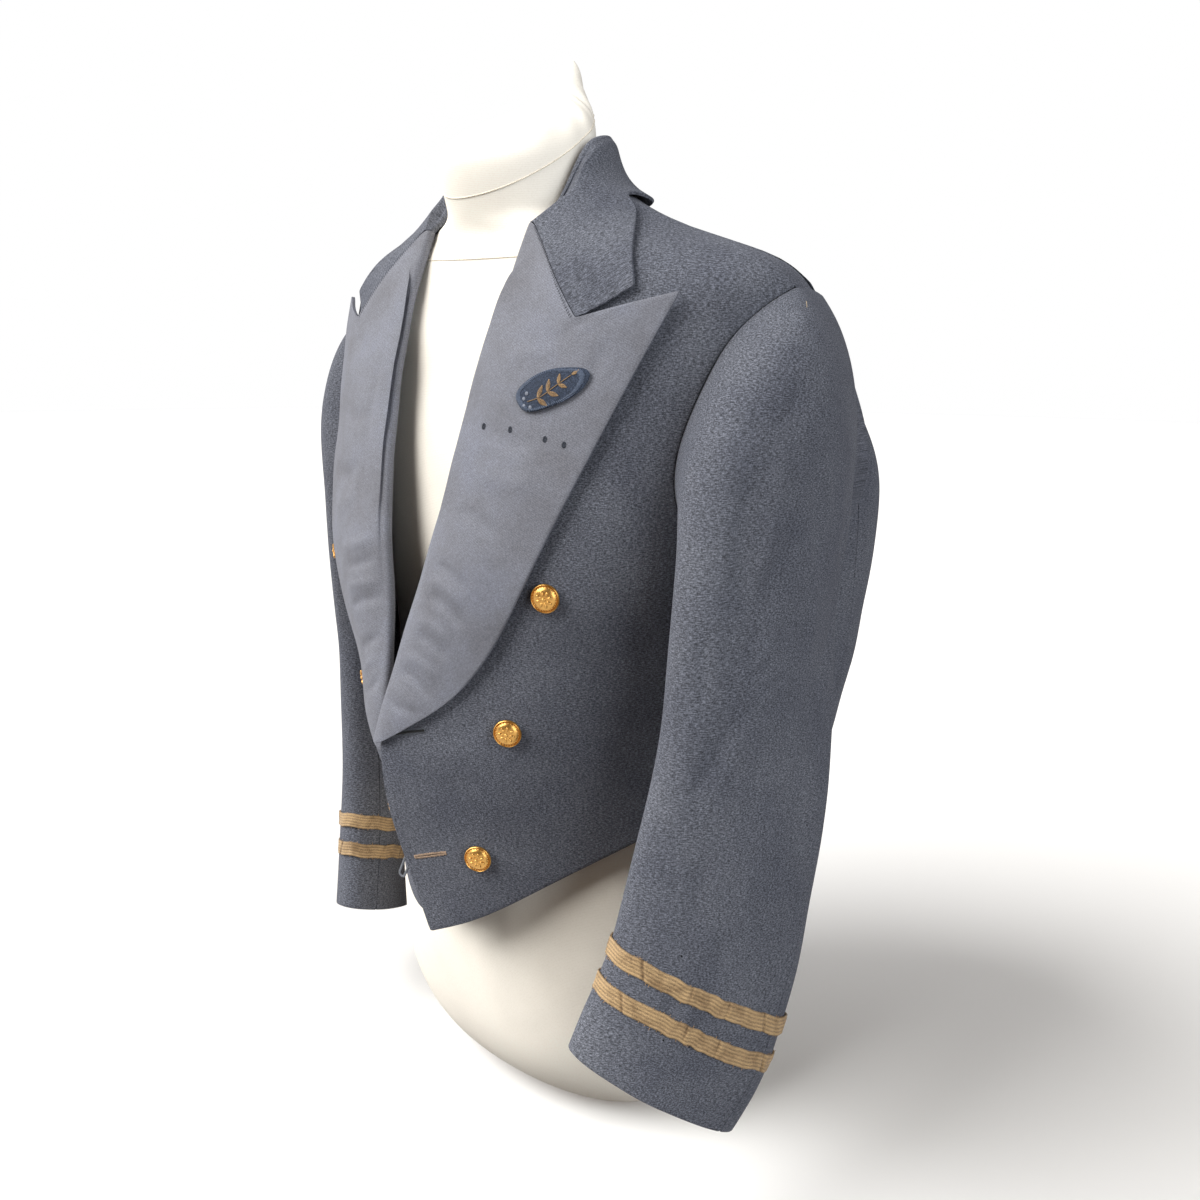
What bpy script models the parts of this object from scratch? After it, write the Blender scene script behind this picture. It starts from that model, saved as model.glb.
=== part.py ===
"""Officer's mess jacket in blue-grey wool, worn by a limbless dress form.

Metres, +Z up. The origin is the middle of the form's flat base, the jacket's front faces -Y, and the
wearer's left is +X. Every panel is a cloth wall between two sheets of points cut from one smooth coat
surface, so panels that are sewn together meet at their seam with a hair's gap.
"""

import math

import bpy
import numpy as np

# Driving sizes
CLOTH = 0.0025  # wool with its interlining
LAPEL_CLOTH = 0.0030  # silk facing and wool together
BRAID_CLOTH = 0.0010
PATCH_CLOTH = 0.0016
SEAM = 0.0004  # left open where two pieces are sewn together
REST = 0.0005  # between a piece and the panel it lies on
SLEEVE_LAP = 0.0010  # the sleeve's head lies this far over the armhole's edge
FORM_CLEAR = 0.0022  # between the cloth and the form inside it
BRAID_WIDTH = 0.0143
BRAID_GAP = 0.0115
BRAID_LOW = 0.046  # from the cuff's hem to the lower band
BACK_DRAPE = 0.012

# The coat's outer face, as level sections. The y columns are the section's foremost, widest and
# rearmost places. Squareness 2 is an ellipse, and more is boxier.
COAT_COLUMNS = ("height", "half_width", "front_y", "side_y", "back_y", "front_square", "back_square")
COAT = (
    (0.100, 0.176, -0.146, 0.004, 0.132, 1.5, 3.0),
    (0.165, 0.181, -0.155, 0.006, 0.136, 1.45, 3.0),
    (0.240, 0.187, -0.164, 0.010, 0.144, 1.4, 3.4),
    (0.320, 0.193, -0.175, 0.018, 0.160, 1.5, 3.8),
    (0.400, 0.200, -0.160, 0.028, 0.176, 1.9, 4.0),
    (0.460, 0.206, -0.148, 0.034, 0.181, 2.4, 4.2),
    (0.520, 0.212, -0.135, 0.034, 0.177, 2.5, 4.0),
    (0.580, 0.216, -0.120, 0.027, 0.159, 2.5, 3.1),
    (0.620, 0.223, -0.108, 0.018, 0.134, 2.4, 2.5),
    (0.640, 0.228, -0.1020, 0.010, 0.116, 2.20, 2.2),
    (0.652, 0.229, -0.0985, 0.005, 0.103, 2.10, 2.1),
    (0.662, 0.222, -0.0960, 0.001, 0.093, 1.95, 2.0),
    (0.670, 0.209, -0.0945, -0.002, 0.085, 1.85, 2.0),
    (0.676, 0.193, -0.0940, -0.004, 0.079, 1.75, 2.0),
    (0.682, 0.171, -0.0935, -0.007, 0.073, 1.68, 2.0),
    (0.690, 0.144, -0.0930, -0.011, 0.065, 1.62, 2.0),
    (0.701, 0.115, -0.0930, -0.016, 0.057, 1.60, 2.0),
    (0.714, 0.092, -0.0945, -0.022, 0.050, 1.66, 2.0),
    (0.722, 0.079, -0.0980, -0.029, 0.043, 1.80, 2.0),
    (0.735, 0.071, -0.102, -0.034, 0.036, 2.0, 2.0),
    (0.755, 0.067, -0.104, -0.038, 0.029, 2.0, 2.0),
    (0.790, 0.059, -0.100, -0.041, 0.017, 2.0, 2.0),
)

# The dress form below the shoulders and above the collar seam, where the coat doesn't rest on it.
FORM_LOWER = (
    (0.000, 0.085, -0.016, 0.016, 0.062, 2.2, 2.2),
    (0.004, 0.102, -0.035, 0.016, 0.078, 2.2, 2.2),
    (0.014, 0.121, -0.054, 0.015, 0.094, 2.2, 2.2),
    (0.034, 0.141, -0.075, 0.014, 0.110, 2.2, 2.2),
    (0.066, 0.156, -0.091, 0.013, 0.121, 2.3, 2.3),
    (0.110, 0.164, -0.100, 0.012, 0.126, 2.3, 2.3),
    (0.200, 0.162, -0.104, 0.010, 0.118, 2.2, 2.3),
    (0.270, 0.156, -0.105, 0.008, 0.114, 2.1, 2.3),
    (0.360, 0.156, -0.108, 0.010, 0.124, 2.2, 2.4),
    (0.450, 0.168, -0.114, 0.014, 0.138, 2.3, 2.6),
    (0.520, 0.181, -0.112, 0.018, 0.146, 2.4, 2.8),
    (0.580, 0.192, -0.102, 0.018, 0.138, 2.4, 2.8),
    (0.620, 0.200, -0.092, 0.016, 0.116, 2.4, 2.6),
)
FORM_NECK = (
    (0.690, 0.100, -0.085, -0.018, 0.046, 1.8, 2.0),
    (0.700, 0.0640, -0.0885, -0.030, 0.033, 2.0, 2.0),
    (0.709, 0.0625, -0.0920, -0.032, 0.030, 2.0, 2.0),
    (0.720, 0.0615, -0.0960, -0.035, 0.027, 2.0, 2.0),
    (0.738, 0.060, -0.101, -0.041, 0.019, 2.0, 2.0),
    (0.750, 0.058, -0.096, -0.039, 0.018, 2.0, 2.0),
    (0.760, 0.054, -0.080, -0.031, 0.018, 2.0, 2.0),
    (0.769, 0.047, -0.060, -0.021, 0.019, 2.0, 2.0),
    (0.777, 0.038, -0.040, -0.010, 0.020, 2.0, 2.0),
    (0.784, 0.028, -0.024, -0.001, 0.021, 2.0, 2.0),
    (0.792, 0.019, -0.012, 0.005, 0.021, 2.0, 2.0),
    (0.803, 0.012, -0.003, 0.009, 0.020, 2.0, 2.0),
    (0.815, 0.008, 0.005, 0.012, 0.018, 2.0, 2.0),
    (0.821, 0.003, 0.009, 0.012, 0.015, 2.0, 2.0),
)
REST_LOW, REST_HIGH = 0.585, 0.625  # the form reaches the coat between these heights

# Front edges as (across, height) in the front view
SHOULDER_NECK = 0.722
HEM = ((0.025, 0.174), (0.060, 0.190), (0.105, 0.222), (0.150, 0.257), (0.170, 0.273))
LEFT_FRONT_EDGE = ((0.025, 0.174), (0.012, 0.220), (0.003, 0.272), (0.000, 0.322))
RIGHT_FRONT_EDGE = ((0.045, 0.180), (0.034, 0.228), (0.022, 0.275), (-0.006, 0.314))
ROLL_LINE = ((0.000, 0.322), (0.018, 0.400), (0.038, 0.490), (0.055, 0.580), (0.063, 0.650), (0.064, 0.693))
LAPEL_EDGE = ((0.008, 0.326), (0.060, 0.362), (0.105, 0.430), (0.138, 0.510), (0.163, 0.580), (0.188, 0.646))
LAPEL_TOP = ((0.064, 0.693), (0.096, 0.660), (0.127, 0.627), (0.157, 0.636), (0.188, 0.646))

# The collar. Its neck seam and its outer edge lie on the coat, with front points in the front view and
# (turn in degrees, height) behind them. Its fold runs round the neck on a section table of its own.
NECK_FRONT = (0.0765, 0.7030)
BACK_NECKLINE = ((90, SHOULDER_NECK), (130, 0.7245), (180, 0.726))
FOLD_RING = (
    (0.690, 0.0690, -0.101, -0.034, 0.036, 2.0, 2.0),
    (0.720, 0.0680, -0.101, -0.034, 0.035, 2.0, 2.0),
    (0.735, 0.0665, -0.101, -0.035, 0.031, 2.0, 2.0),
    (0.750, 0.0650, -0.100, -0.037, 0.027, 2.0, 2.0),
    (0.770, 0.0630, -0.098, -0.039, 0.023, 2.0, 2.0),
)
FOLD = (
    (64, 0.6985),
    (70, 0.7090),
    (76, 0.7210),
    (83, 0.7340),
    (90, 0.7440),
    (100, 0.7530),
    (115, 0.7575),
    (135, 0.7600),
    (180, 0.7630),
)
COLLAR_POINT = (0.160, 0.649)
COLLAR_EDGE_FRONT = (COLLAR_POINT, (0.150, 0.667), (0.130, 0.687), (0.109, 0.703))
COLLAR_EDGE_BACK = ((90, 0.7145), (130, 0.711), (180, 0.709))
COLLAR_SAG = 0.016  # how far the fall drops towards the coat between its fold and its edge

# Trimmings, as (across, height) on the wearer's left front
BUTTONS = ((0.127, 0.444), (0.096, 0.344), (0.067, 0.243))
BUTTON_PROFILE = (
    (0.0036, 0.0003),
    (0.0036, 0.0022),
    (0.0088, 0.0022),
    (0.0103, 0.0032),
    (0.0099, 0.0044),
    (0.0086, 0.0047),
    (0.0074, 0.0058),
    (0.0042, 0.0070),
)
PATCH_MIDDLE = (0.121, 0.583)  # on the left lapel
PATCH_LENGTH, PATCH_HEIGHT, PATCH_TILT = 0.054, 0.025, 20.0
LOOP_MIDDLE = (0.008, 0.226)
LOOP_LENGTH, LOOP_WIDTH, LOOP_TAPE = 0.030, 0.0075, 0.0022

# Armhole in the side view, as (back from the widest line, height) round from the top by the front
ARMHOLE_MIDDLE = (0.018, 0.546)
ARMHOLE_RISE, ARMHOLE_DROP = 0.104, 0.098
ARMHOLE_FRONT, ARMHOLE_BACK = 0.071, 0.090
ARMHOLE_SCOOP = 0.016  # how much further forward its lower front reaches
ARMHOLE_POINTS = 28
CAP_ROWS, SLEEVE_ROWS = 8, 12
ROLL_ROWS = 14
LAPEL_COLUMNS, GORGE_POINTS = 8, 5
SHOULDER_POINTS, BACK_NECK_COLUMNS = 11, 3

# The sleeve's tube below the armhole: the middle of each section, half its width from the front seam to
# the back one, half its thickness, and how far its front is turned in towards the body, in degrees.
SLEEVE_COLUMNS = ("x", "y", "z", "half_wide", "half_thin", "turned_in")
LEFT_SLEEVE = (
    (0.240, -0.036, 0.430, 0.075, 0.033, 0.0),
    (0.244, -0.046, 0.360, 0.0745, 0.034, 3.0),
    (0.246, -0.060, 0.290, 0.071, 0.035, 12.0),
    (0.245, -0.082, 0.215, 0.068, 0.034, 25.0),
    (0.238, -0.101, 0.159, 0.067, 0.032, 34.0),
    (0.230, -0.118, 0.124, 0.0635, 0.030, 38.0),
)
RIGHT_SLEEVE = (
    (0.241, 0.012, 0.425, 0.074, 0.032, 0.0),
    (0.241, 0.014, 0.350, 0.0735, 0.033, 3.0),
    (0.240, 0.008, 0.275, 0.071, 0.034, 12.0),
    (0.235, -0.009, 0.198, 0.068, 0.033, 25.0),
    (0.227, -0.027, 0.132, 0.0665, 0.031, 34.0),
    (0.219, -0.042, 0.083, 0.0635, 0.030, 38.0),
)
# Soft folds that run along a sleeve: where each starts and ends as a share of the sleeve's length, its place
# round the sleeve at each end in degrees from the outside towards the front, its half width in degrees, and
# how far it stands out. A trough is negative.
SLEEVE_FOLDS = (
    (0.20, 0.46, 28, 34, 13, -0.0036),
    (0.22, 0.44, 56, 52, 12, 0.0018),
    (0.14, 0.31, 75, 20, 12, 0.0018),
    (0.44, 0.60, 22, 42, 12, -0.0026),
    (0.53, 0.69, 62, 30, 14, -0.0020),
    (0.30, 0.48, -42, -30, 14, -0.0023),
    (0.50, 0.67, -60, -34, 14, 0.0018),
    (0.46, 0.60, 104, 80, 16, -0.0028),
    (0.60, 0.73, 112, 84, 14, 0.0020),
    (0.40, 0.62, 205, 190, 18, -0.0024),
)
FRONT_SEAM, BACK_SEAM = 10, -4  # armhole points where the two sleeve pieces are sewn together

LEFT, RIGHT = 1, -1


# Curves and the coat's surface


def monotone(x, xs, ys):
    """A smooth curve through (xs, ys), read at x, that never overshoots between two of its points."""
    xs, ys = np.asarray(xs, float), np.asarray(ys, float)
    step = np.diff(xs)
    slope = np.diff(ys) / step
    rate = np.zeros(len(xs))
    w1, w2 = 2 * step[1:] + step[:-1], step[1:] + 2 * step[:-1]
    same = slope[:-1] * slope[1:] > 0
    safe = np.where(same[:, None], np.stack([slope[:-1], slope[1:]], -1), 1.0)
    rate[1:-1] = np.where(same, (w1 + w2) / (w1 / safe[:, 0] + w2 / safe[:, 1]), 0.0)
    rate[0], rate[-1] = slope[0], slope[-1]
    x = np.clip(np.asarray(x, float), xs[0], xs[-1])
    i = np.clip(np.searchsorted(xs, x) - 1, 0, len(step) - 1)
    t = (x - xs[i]) / step[i]
    start = ys[i] * (1 + 2 * t) * (1 - t) ** 2 + rate[i] * step[i] * t * (1 - t) ** 2
    end = ys[i + 1] * t * t * (3 - 2 * t) + rate[i + 1] * step[i] * t * t * (t - 1)
    return start + end


def ease(x, low, high):
    """0 below low, 1 above high, and smooth between them."""
    t = np.clip((np.asarray(x, float) - low) / (high - low), 0, 1)
    return t * t * (3 - 2 * t)


def unit(v):
    return v / np.maximum(np.linalg.norm(v, axis=-1, keepdims=True), 1e-12)


def section(table, z):
    """The named columns of a torso table at height z."""
    rows = np.array(table)
    return {name: monotone(z, rows[:, 0], rows[:, i]) for i, name in enumerate(COAT_COLUMNS)}


def round_torso(table, turn, z):
    """Points on a torso. turn is 0 at the centre front and a quarter turn at the wearer's left side."""
    turn, z = np.broadcast_arrays(np.asarray(turn, float), np.asarray(z, float))
    at = section(table, z)
    sine, cosine = np.sin(turn), np.cos(turn)
    ahead = cosine >= 0
    depth = np.where(ahead, at["side_y"] - at["front_y"], at["back_y"] - at["side_y"])
    square = np.where(ahead, at["front_square"], at["back_square"])
    swell = (np.abs(sine) ** square + np.abs(cosine) ** square) ** (-1 / square)
    x = at["half_width"] * swell * sine
    y = at["side_y"] - depth * swell * cosine
    return np.stack([x, y, z], -1)


def coat_normal(turn, z):
    small = 1e-3
    across = round_torso(COAT, turn + small, z) - round_torso(COAT, turn - small, z)
    up = round_torso(COAT, turn, z + small) - round_torso(COAT, turn, z - small)
    return unit(np.cross(across, up))


def drape(turn, z):
    """The soft fold that hangs down each side of the back, behind the armhole."""
    off = np.abs(np.abs((turn + math.pi) % (2 * math.pi) - math.pi) - math.radians(128))
    around = 1 - ease(off, 0, math.radians(34))
    return BACK_DRAPE * around * ease(z, 0.20, 0.33) * (1 - ease(z, 0.50, 0.60))


def coat(turn, z, lift=0.0):
    """The coat's outer face, moved out by lift."""
    turn, z = np.broadcast_arrays(np.asarray(turn, float), np.asarray(z, float))
    lift = np.broadcast_to(lift, turn.shape) + drape(turn, z)
    return round_torso(COAT, turn, z) + coat_normal(turn, z) * lift[..., None]


def front_turn(x, z):
    """The turn at which the coat's front is x across at height z."""
    at = section(COAT, z)
    share = np.clip(np.abs(x) / at["half_width"], 0, 0.99999) ** at["front_square"]
    return np.sign(x) * np.arctan((share / (1 - share)) ** (1 / at["front_square"]))


def side_turn(y, z):
    """The turn on the wearer's left at which the coat is y back at height z."""
    at = section(COAT, z)
    ahead = y < at["side_y"]
    depth = np.where(ahead, at["side_y"] - at["front_y"], at["back_y"] - at["side_y"])
    square = np.where(ahead, at["front_square"], at["back_square"])
    share = np.clip(np.abs(y - at["side_y"]) / depth, 1e-9, 0.9999) ** square
    from_middle = np.arctan(((1 - share) / share) ** (1 / square))
    return np.where(ahead, from_middle, math.pi - from_middle)


def spread(points, count):
    """count points, evenly spaced on the coat, on a smooth curve through (turn, height) points."""
    points = np.asarray(points, float)
    chord = np.r_[0, np.cumsum(np.linalg.norm(np.diff(coat(points[:, 0], points[:, 1]), axis=0), axis=1))]
    fine = np.linspace(0, chord[-1], 300)
    curve = np.stack([monotone(fine, chord, points[:, i]) for i in (0, 1)], -1)
    places = coat(curve[:, 0], curve[:, 1])
    length = np.r_[0, np.cumsum(np.linalg.norm(np.diff(places, axis=0), axis=1))]
    even = np.linspace(0, length[-1], count)
    return np.stack([np.interp(even, length, curve[:, i]) for i in (0, 1)], -1)


def in_turns(front_view_points):
    """A smooth curve through (across, height) points of the front view, as close (turn, height) points."""
    points = np.asarray(front_view_points, float)
    if len(points) > 1:
        chord = np.r_[0, np.cumsum(np.linalg.norm(np.diff(points, axis=0), axis=1))]
        fine = np.unique(np.concatenate([np.linspace(a, b, 9) for a, b in zip(chord, chord[1:])]))
        points = np.stack([monotone(fine, chord, points[:, i]) for i in (0, 1)], -1)
    return np.stack([front_turn(points[:, 0], points[:, 1]), points[:, 1]], -1)


def in_radians(points):
    return [(math.radians(turn), z) for turn, z in points]


def between(bottom, top, left, right):
    """A grid of (turn, height) points that fills the space between four edges that meet at their ends."""
    u = np.linspace(0, 1, len(bottom))[None, :, None]
    v = np.linspace(0, 1, len(left))[:, None, None]
    corners = (1 - u) * (1 - v) * bottom[0] + u * (1 - v) * bottom[-1]
    corners = corners + (1 - u) * v * top[0] + u * v * top[-1]
    return (1 - v) * bottom[None] + v * top[None] + (1 - u) * left[:, None] + u * right[:, None] - corners


# Building solids


def pull_in(grid, gap=SEAM / 2):
    """Moves a grid's four edges in by half a seam's gap."""
    grid = grid.copy()
    for line, inner in ((0, 1), (-1, -2)):
        grid[line] += unit(grid[inner] - grid[line]) * gap
        grid[:, line] += unit(grid[:, inner] - grid[:, line]) * gap
    return grid


def grid_normal(grid, closed=False):
    """Normals of a grid of points, whose columns run on round where it is closed."""
    if closed:
        across = np.roll(grid, -1, axis=1) - np.roll(grid, 1, axis=1)
    else:
        across = np.gradient(grid, axis=1)
    return unit(np.cross(across, np.gradient(grid, axis=0)))


def add_object(name, vertices, faces, material, side=LEFT):
    """One closed mesh object, mirrored to the wearer's right where side is RIGHT."""
    vertices = np.asarray(vertices, float) * (side, 1, 1)
    mesh = bpy.data.meshes.new(name)
    mesh.from_pydata(vertices.tolist(), [], faces)
    mesh.validate()
    corners = vertices[np.array([t for f in faces for t in ((f[0], f[1], f[2]), (f[0], f[2], f[-1]))])]
    if np.linalg.det(corners).sum() < 0:
        mesh.flip_normals()
    mesh.shade_smooth()
    mesh.set_sharp_from_angle(angle=math.radians(50))
    mesh.materials.append(material)
    made = bpy.data.objects.new(name, mesh)
    bpy.context.scene.collection.objects.link(made)
    return made


def wall(name, outer, inner, material, side=LEFT):
    """A cloth wall between two grids of points, closed round its four edges."""
    rows, columns = outer.shape[:2]
    back = rows * columns

    def at(i, j):
        return i * columns + j

    faces = []
    for i in range(rows - 1):
        for j in range(columns - 1):
            quad = (at(i, j), at(i, j + 1), at(i + 1, j + 1), at(i + 1, j))
            faces.append(quad)
            faces.append(tuple(back + k for k in reversed(quad)))
    rim = [at(0, j) for j in range(columns)] + [at(i, columns - 1) for i in range(1, rows)]
    rim += [at(rows - 1, j) for j in range(columns - 2, -1, -1)] + [at(i, 0) for i in range(rows - 2, 0, -1)]
    for a, b in zip(rim, rim[1:] + rim[:1]):
        faces.append((b, a, back + a, back + b))
    vertices = np.concatenate([outer.reshape(-1, 3), inner.reshape(-1, 3)])
    return add_object(name, vertices, faces, material, side)


def ring_wall(name, outer, inner, material, side=LEFT):
    """A band of cloth whose columns run right round."""
    rows, columns = outer.shape[:2]
    back = rows * columns

    def at(i, j):
        return i * columns + j % columns

    faces = []
    for j in range(columns):
        for i in range(rows - 1):
            quad = (at(i, j), at(i, j + 1), at(i + 1, j + 1), at(i + 1, j))
            faces.append(quad)
            faces.append(tuple(back + k for k in reversed(quad)))
        faces.append((at(0, j + 1), at(0, j), back + at(0, j), back + at(0, j + 1)))
        last = rows - 1
        faces.append((at(last, j), at(last, j + 1), back + at(last, j + 1), back + at(last, j)))
    vertices = np.concatenate([outer.reshape(-1, 3), inner.reshape(-1, 3)])
    return add_object(name, vertices, faces, material, side)


def lofted(name, rings, material, side=LEFT):
    """A solid through closed rings of points, with flat ends."""
    count, around = rings.shape[:2]
    faces = []
    for i in range(count - 1):
        for j in range(around):
            k = (j + 1) % around
            faces.append((i * around + j, i * around + k, (i + 1) * around + k, (i + 1) * around + j))
    vertices = rings.reshape(-1, 3)
    ends = np.stack([rings[0].mean(0), rings[-1].mean(0)])
    low, high = len(vertices), len(vertices) + 1
    for j in range(around):
        k = (j + 1) % around
        faces.append((k, j, low))
        faces.append(((count - 1) * around + j, (count - 1) * around + k, high))
    return add_object(name, np.concatenate([vertices, ends]), faces, material, side)


def finish(name, colour, roughness, metallic=0.0):
    """A plain material for the solids."""
    material = bpy.data.materials.new(name)
    material.use_nodes = True
    shader = material.node_tree.nodes["Principled BSDF"]
    shader.inputs["Base Color"].default_value = (*colour, 1.0)
    shader.inputs["Roughness"].default_value = roughness
    shader.inputs["Metallic"].default_value = metallic
    return material


# Shared seams, as (turn, height) points


def armhole():
    """The armhole seam, from the shoulder's end round by the front."""
    angle = np.linspace(0, 2 * math.pi, ARMHOLE_POINTS, endpoint=False)
    back, height = ARMHOLE_MIDDLE
    reach = np.where(np.sin(angle) > 0, -ARMHOLE_FRONT, ARMHOLE_BACK)
    reach = reach - ARMHOLE_SCOOP * (np.sin(angle) > 0) * ease(-np.cos(angle), -0.5, 0.5)
    y = back + reach * np.abs(np.sin(angle)) ** 0.9
    z = height + np.where(np.cos(angle) > 0, ARMHOLE_RISE, ARMHOLE_DROP) * np.cos(angle)
    turn = side_turn(y, z)
    turn[0] = math.pi / 2
    return np.stack([turn, z], -1)


ARM_FRONT, ARM_BACK = 10, 19  # armhole points where the side body's two seams end


def hem_height(turn):
    """The hem's height: lowest at the front point, highest at the side, and a shallow point behind."""
    turns = [front_turn(x, z) for x, z in HEM]
    behind = [(math.radians(80), 0.282), (math.radians(100), 0.285), (math.radians(135), 0.278), (math.pi, 0.262)]
    points = sorted(zip(turns, [z for _, z in HEM])) + behind
    return monotone(turn, [t for t, _ in points], [z for _, z in points])


def seams():
    arm = armhole()
    lower_front = np.array([math.radians(68), hem_height(math.radians(68))])
    lower_back = np.array([math.radians(122), hem_height(math.radians(122))])
    return {
        "arm": arm,
        "shoulder": spread([(math.pi / 2, SHOULDER_NECK), (math.pi / 2, 0.692), arm[0]], SHOULDER_POINTS),
        "front_side": spread([lower_front, (math.radians(69), 0.36), arm[ARM_FRONT]], 12),
        "back_side": spread([lower_back, (math.radians(121), 0.38), arm[ARM_BACK]], 12),
    }


# Pieces


def underlap(turn, z):
    """How far the wearer's right front lies in from the left one, which it passes under."""
    across = round_torso(COAT, turn, z)[..., 0]
    low = 1 - ease(z, 0.24, 0.32)
    depth = 0.0036 + 0.0036 * ease(z, 0.20, 0.29)
    tucked = depth * ease(across, -0.055, -0.012) * (1 - ease(z, 0.40, 0.52))
    fallen = (0.010 + 0.007 * low) * ease(across, -0.165, -0.100) * (1 - ease(z, 0.34, 0.43))
    return -tucked - fallen * (1 - (1 - low) * ease(across, -0.07, -0.015))


def front_edge(side):
    """The front's free edge from the hem to the neck's side: its points below the break, on the roll, above."""
    below = np.array(LEFT_FRONT_EDGE if side == LEFT else RIGHT_FRONT_EDGE) * (side, 1)
    roll = in_turns([below[-1], *ROLL_LINE[1:]])
    neck = [roll[-1], *in_turns([NECK_FRONT]), *in_radians(BACK_NECKLINE[:1])]
    return spread(in_turns(below), 5), spread(roll, ROLL_ROWS), spread(neck, 5)


def front_panel(side, seam, material):
    columns = len(seam["shoulder"])
    below, roll, neck = front_edge(side)
    left = np.concatenate([below, roll[1:], neck[1:]])
    right = np.concatenate([seam["front_side"], seam["arm"][ARM_FRONT - 1 :: -1]])
    hem_turns = np.linspace(left[0, 0], right[0, 0], 40)
    bottom = spread(np.stack([hem_turns, hem_height(np.abs(hem_turns))], -1), columns)
    bottom[0], bottom[-1] = left[0], right[0]
    grid = between(bottom, seam["shoulder"], left, right)
    turn, z = grid[..., 0], grid[..., 1]
    lift = underlap(-turn, z) if side == RIGHT else np.zeros_like(z)
    outer = pull_in(coat(turn, z, lift))
    inner = pull_in(coat(turn, z, lift - CLOTH))
    name = "front_left" if side == LEFT else "front_right"
    wall(name, outer, inner, material, side)
    return outer


def side_body(side, seam, material):
    arm = seam["arm"][ARM_FRONT : ARM_BACK + 1]
    left, right = seam["front_side"], seam["back_side"]
    turns = np.linspace(left[0, 0], right[0, 0], len(arm))
    bottom = np.stack([turns, hem_height(turns)], -1)
    grid = between(bottom, arm, left, right)
    turn, z = grid[..., 0], grid[..., 1]
    outer, inner = pull_in(coat(turn, z)), pull_in(coat(turn, z, -CLOTH))
    return wall("side_body_left" if side == LEFT else "side_body_right", outer, inner, material, side)


def back_panel(side, seam, material):
    columns = len(seam["shoulder"]) + BACK_NECK_COLUMNS
    left = np.concatenate([seam["back_side"], seam["arm"][ARM_BACK + 1 :], seam["arm"][:1]])
    right = spread([(math.pi, hem_height(math.pi)), (math.pi, 0.45), (math.pi, BACK_NECKLINE[-1][1])], len(left))
    turns = np.linspace(left[0, 0], math.pi, columns)
    bottom = np.stack([turns, hem_height(turns)], -1)
    neckline = spread(in_radians(BACK_NECKLINE), BACK_NECK_COLUMNS + 1)
    top = np.concatenate([seam["shoulder"][::-1], neckline[1:]])
    grid = between(bottom, top, left, right)
    turn, z = grid[..., 0], grid[..., 1]
    outer, inner = pull_in(coat(turn, z)), pull_in(coat(turn, z, -CLOTH))
    return wall("back_left" if side == LEFT else "back_right", outer, inner, material, side)


def sleeve_grid(arm, stations):
    """Points of a whole sleeve's outer face: rows from the armhole to the cuff, columns round it."""
    angle = np.linspace(0, 2 * math.pi, ARMHOLE_POINTS, endpoint=False)
    start = coat(arm[:, 0], arm[:, 1])
    normal = coat_normal(arm[:, 0], arm[:, 1])
    table = np.array(stations)
    run = np.r_[0, np.cumsum(np.linalg.norm(np.diff(table[:, :3], axis=0), axis=1))]
    along_run = np.linspace(0, run[-1], SLEEVE_ROWS)
    at = {name: monotone(along_run, run, table[:, i]) for i, name in enumerate(SLEEVE_COLUMNS)}
    centre = np.stack([at["x"], at["y"], at["z"]], -1)
    along = unit(np.gradient(centre, axis=0))
    inward = np.radians(at["turned_in"])
    ahead = np.stack([-np.sin(inward), -np.cos(inward), np.zeros_like(inward)], -1)
    ahead = unit(ahead - along * (ahead * along).sum(-1, keepdims=True))
    outwards = np.cross(along, ahead)
    outwards *= np.sign(outwards[:, :1])
    wide = at["half_wide"][:, None, None] * ahead[:, None] * np.sin(angle)[None, :, None]
    thin = at["half_thin"][:, None, None] * outwards[:, None] * np.cos(angle)[None, :, None]
    tube = centre[:, None] + wide + thin
    top, front = np.cos(angle)[:, None], np.sin(angle)[:, None]
    towards = unit(np.mean(start, axis=0) - start)
    towards = unit(towards - normal * (towards * normal).sum(-1, keepdims=True))
    sideways = np.array([1.0, 0, 0]) * (0.42 + 0.26 * front + 0.12 * np.maximum(top, 0))
    ahead_of_seam = np.array([0, -1.0, 0]) * np.maximum(front, 0) * 0.6
    across = towards * (0.35 - 0.45 * front - 0.1 * top).clip(0.05, 0.9)
    down = np.array([0, 0, -1.0]) * np.maximum(-top, 0) * 1.1
    leave = unit(sideways + across + down + ahead_of_seam)
    reach = np.linalg.norm(tube[0] - start, axis=-1, keepdims=True)
    t = np.linspace(0, 1, CAP_ROWS)[:, None, None]
    cap = start * (1 + 2 * t) * (1 - t) ** 2 + leave * reach * 0.95 * t * (1 - t) ** 2
    hang = along[0] * reach * (0.8 + 1.2 * np.maximum(front, 0))
    cap = cap + tube[0] * t * t * (3 - 2 * t) + hang * t * t * (t - 1)
    cap[0] = start - towards * SLEEVE_LAP + normal * (REST + CLOTH + 0.0008)
    return np.concatenate([cap, tube[1:]]), normal


def fold_lift(rows, columns, shift):
    """How far each point of a sleeve's grid stands out for its folds, shifted a little round the sleeve."""
    along = np.linspace(0, 1, rows)[:, None]
    round_it = np.arange(columns)[None] * 360 / columns
    lift = np.zeros((rows, columns))
    for start, end, first, last, width, depth in SLEEVE_FOLDS:
        t = (along - start) / (end - start)
        middle = first + (last - first) * t + shift
        off = (round_it - middle + 180) % 360 - 180
        lift += depth * np.exp(-((off / width) ** 2)) * ease(t, -0.15, 0.3) * (1 - ease(t, 0.7, 1.15))
    return lift


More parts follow.
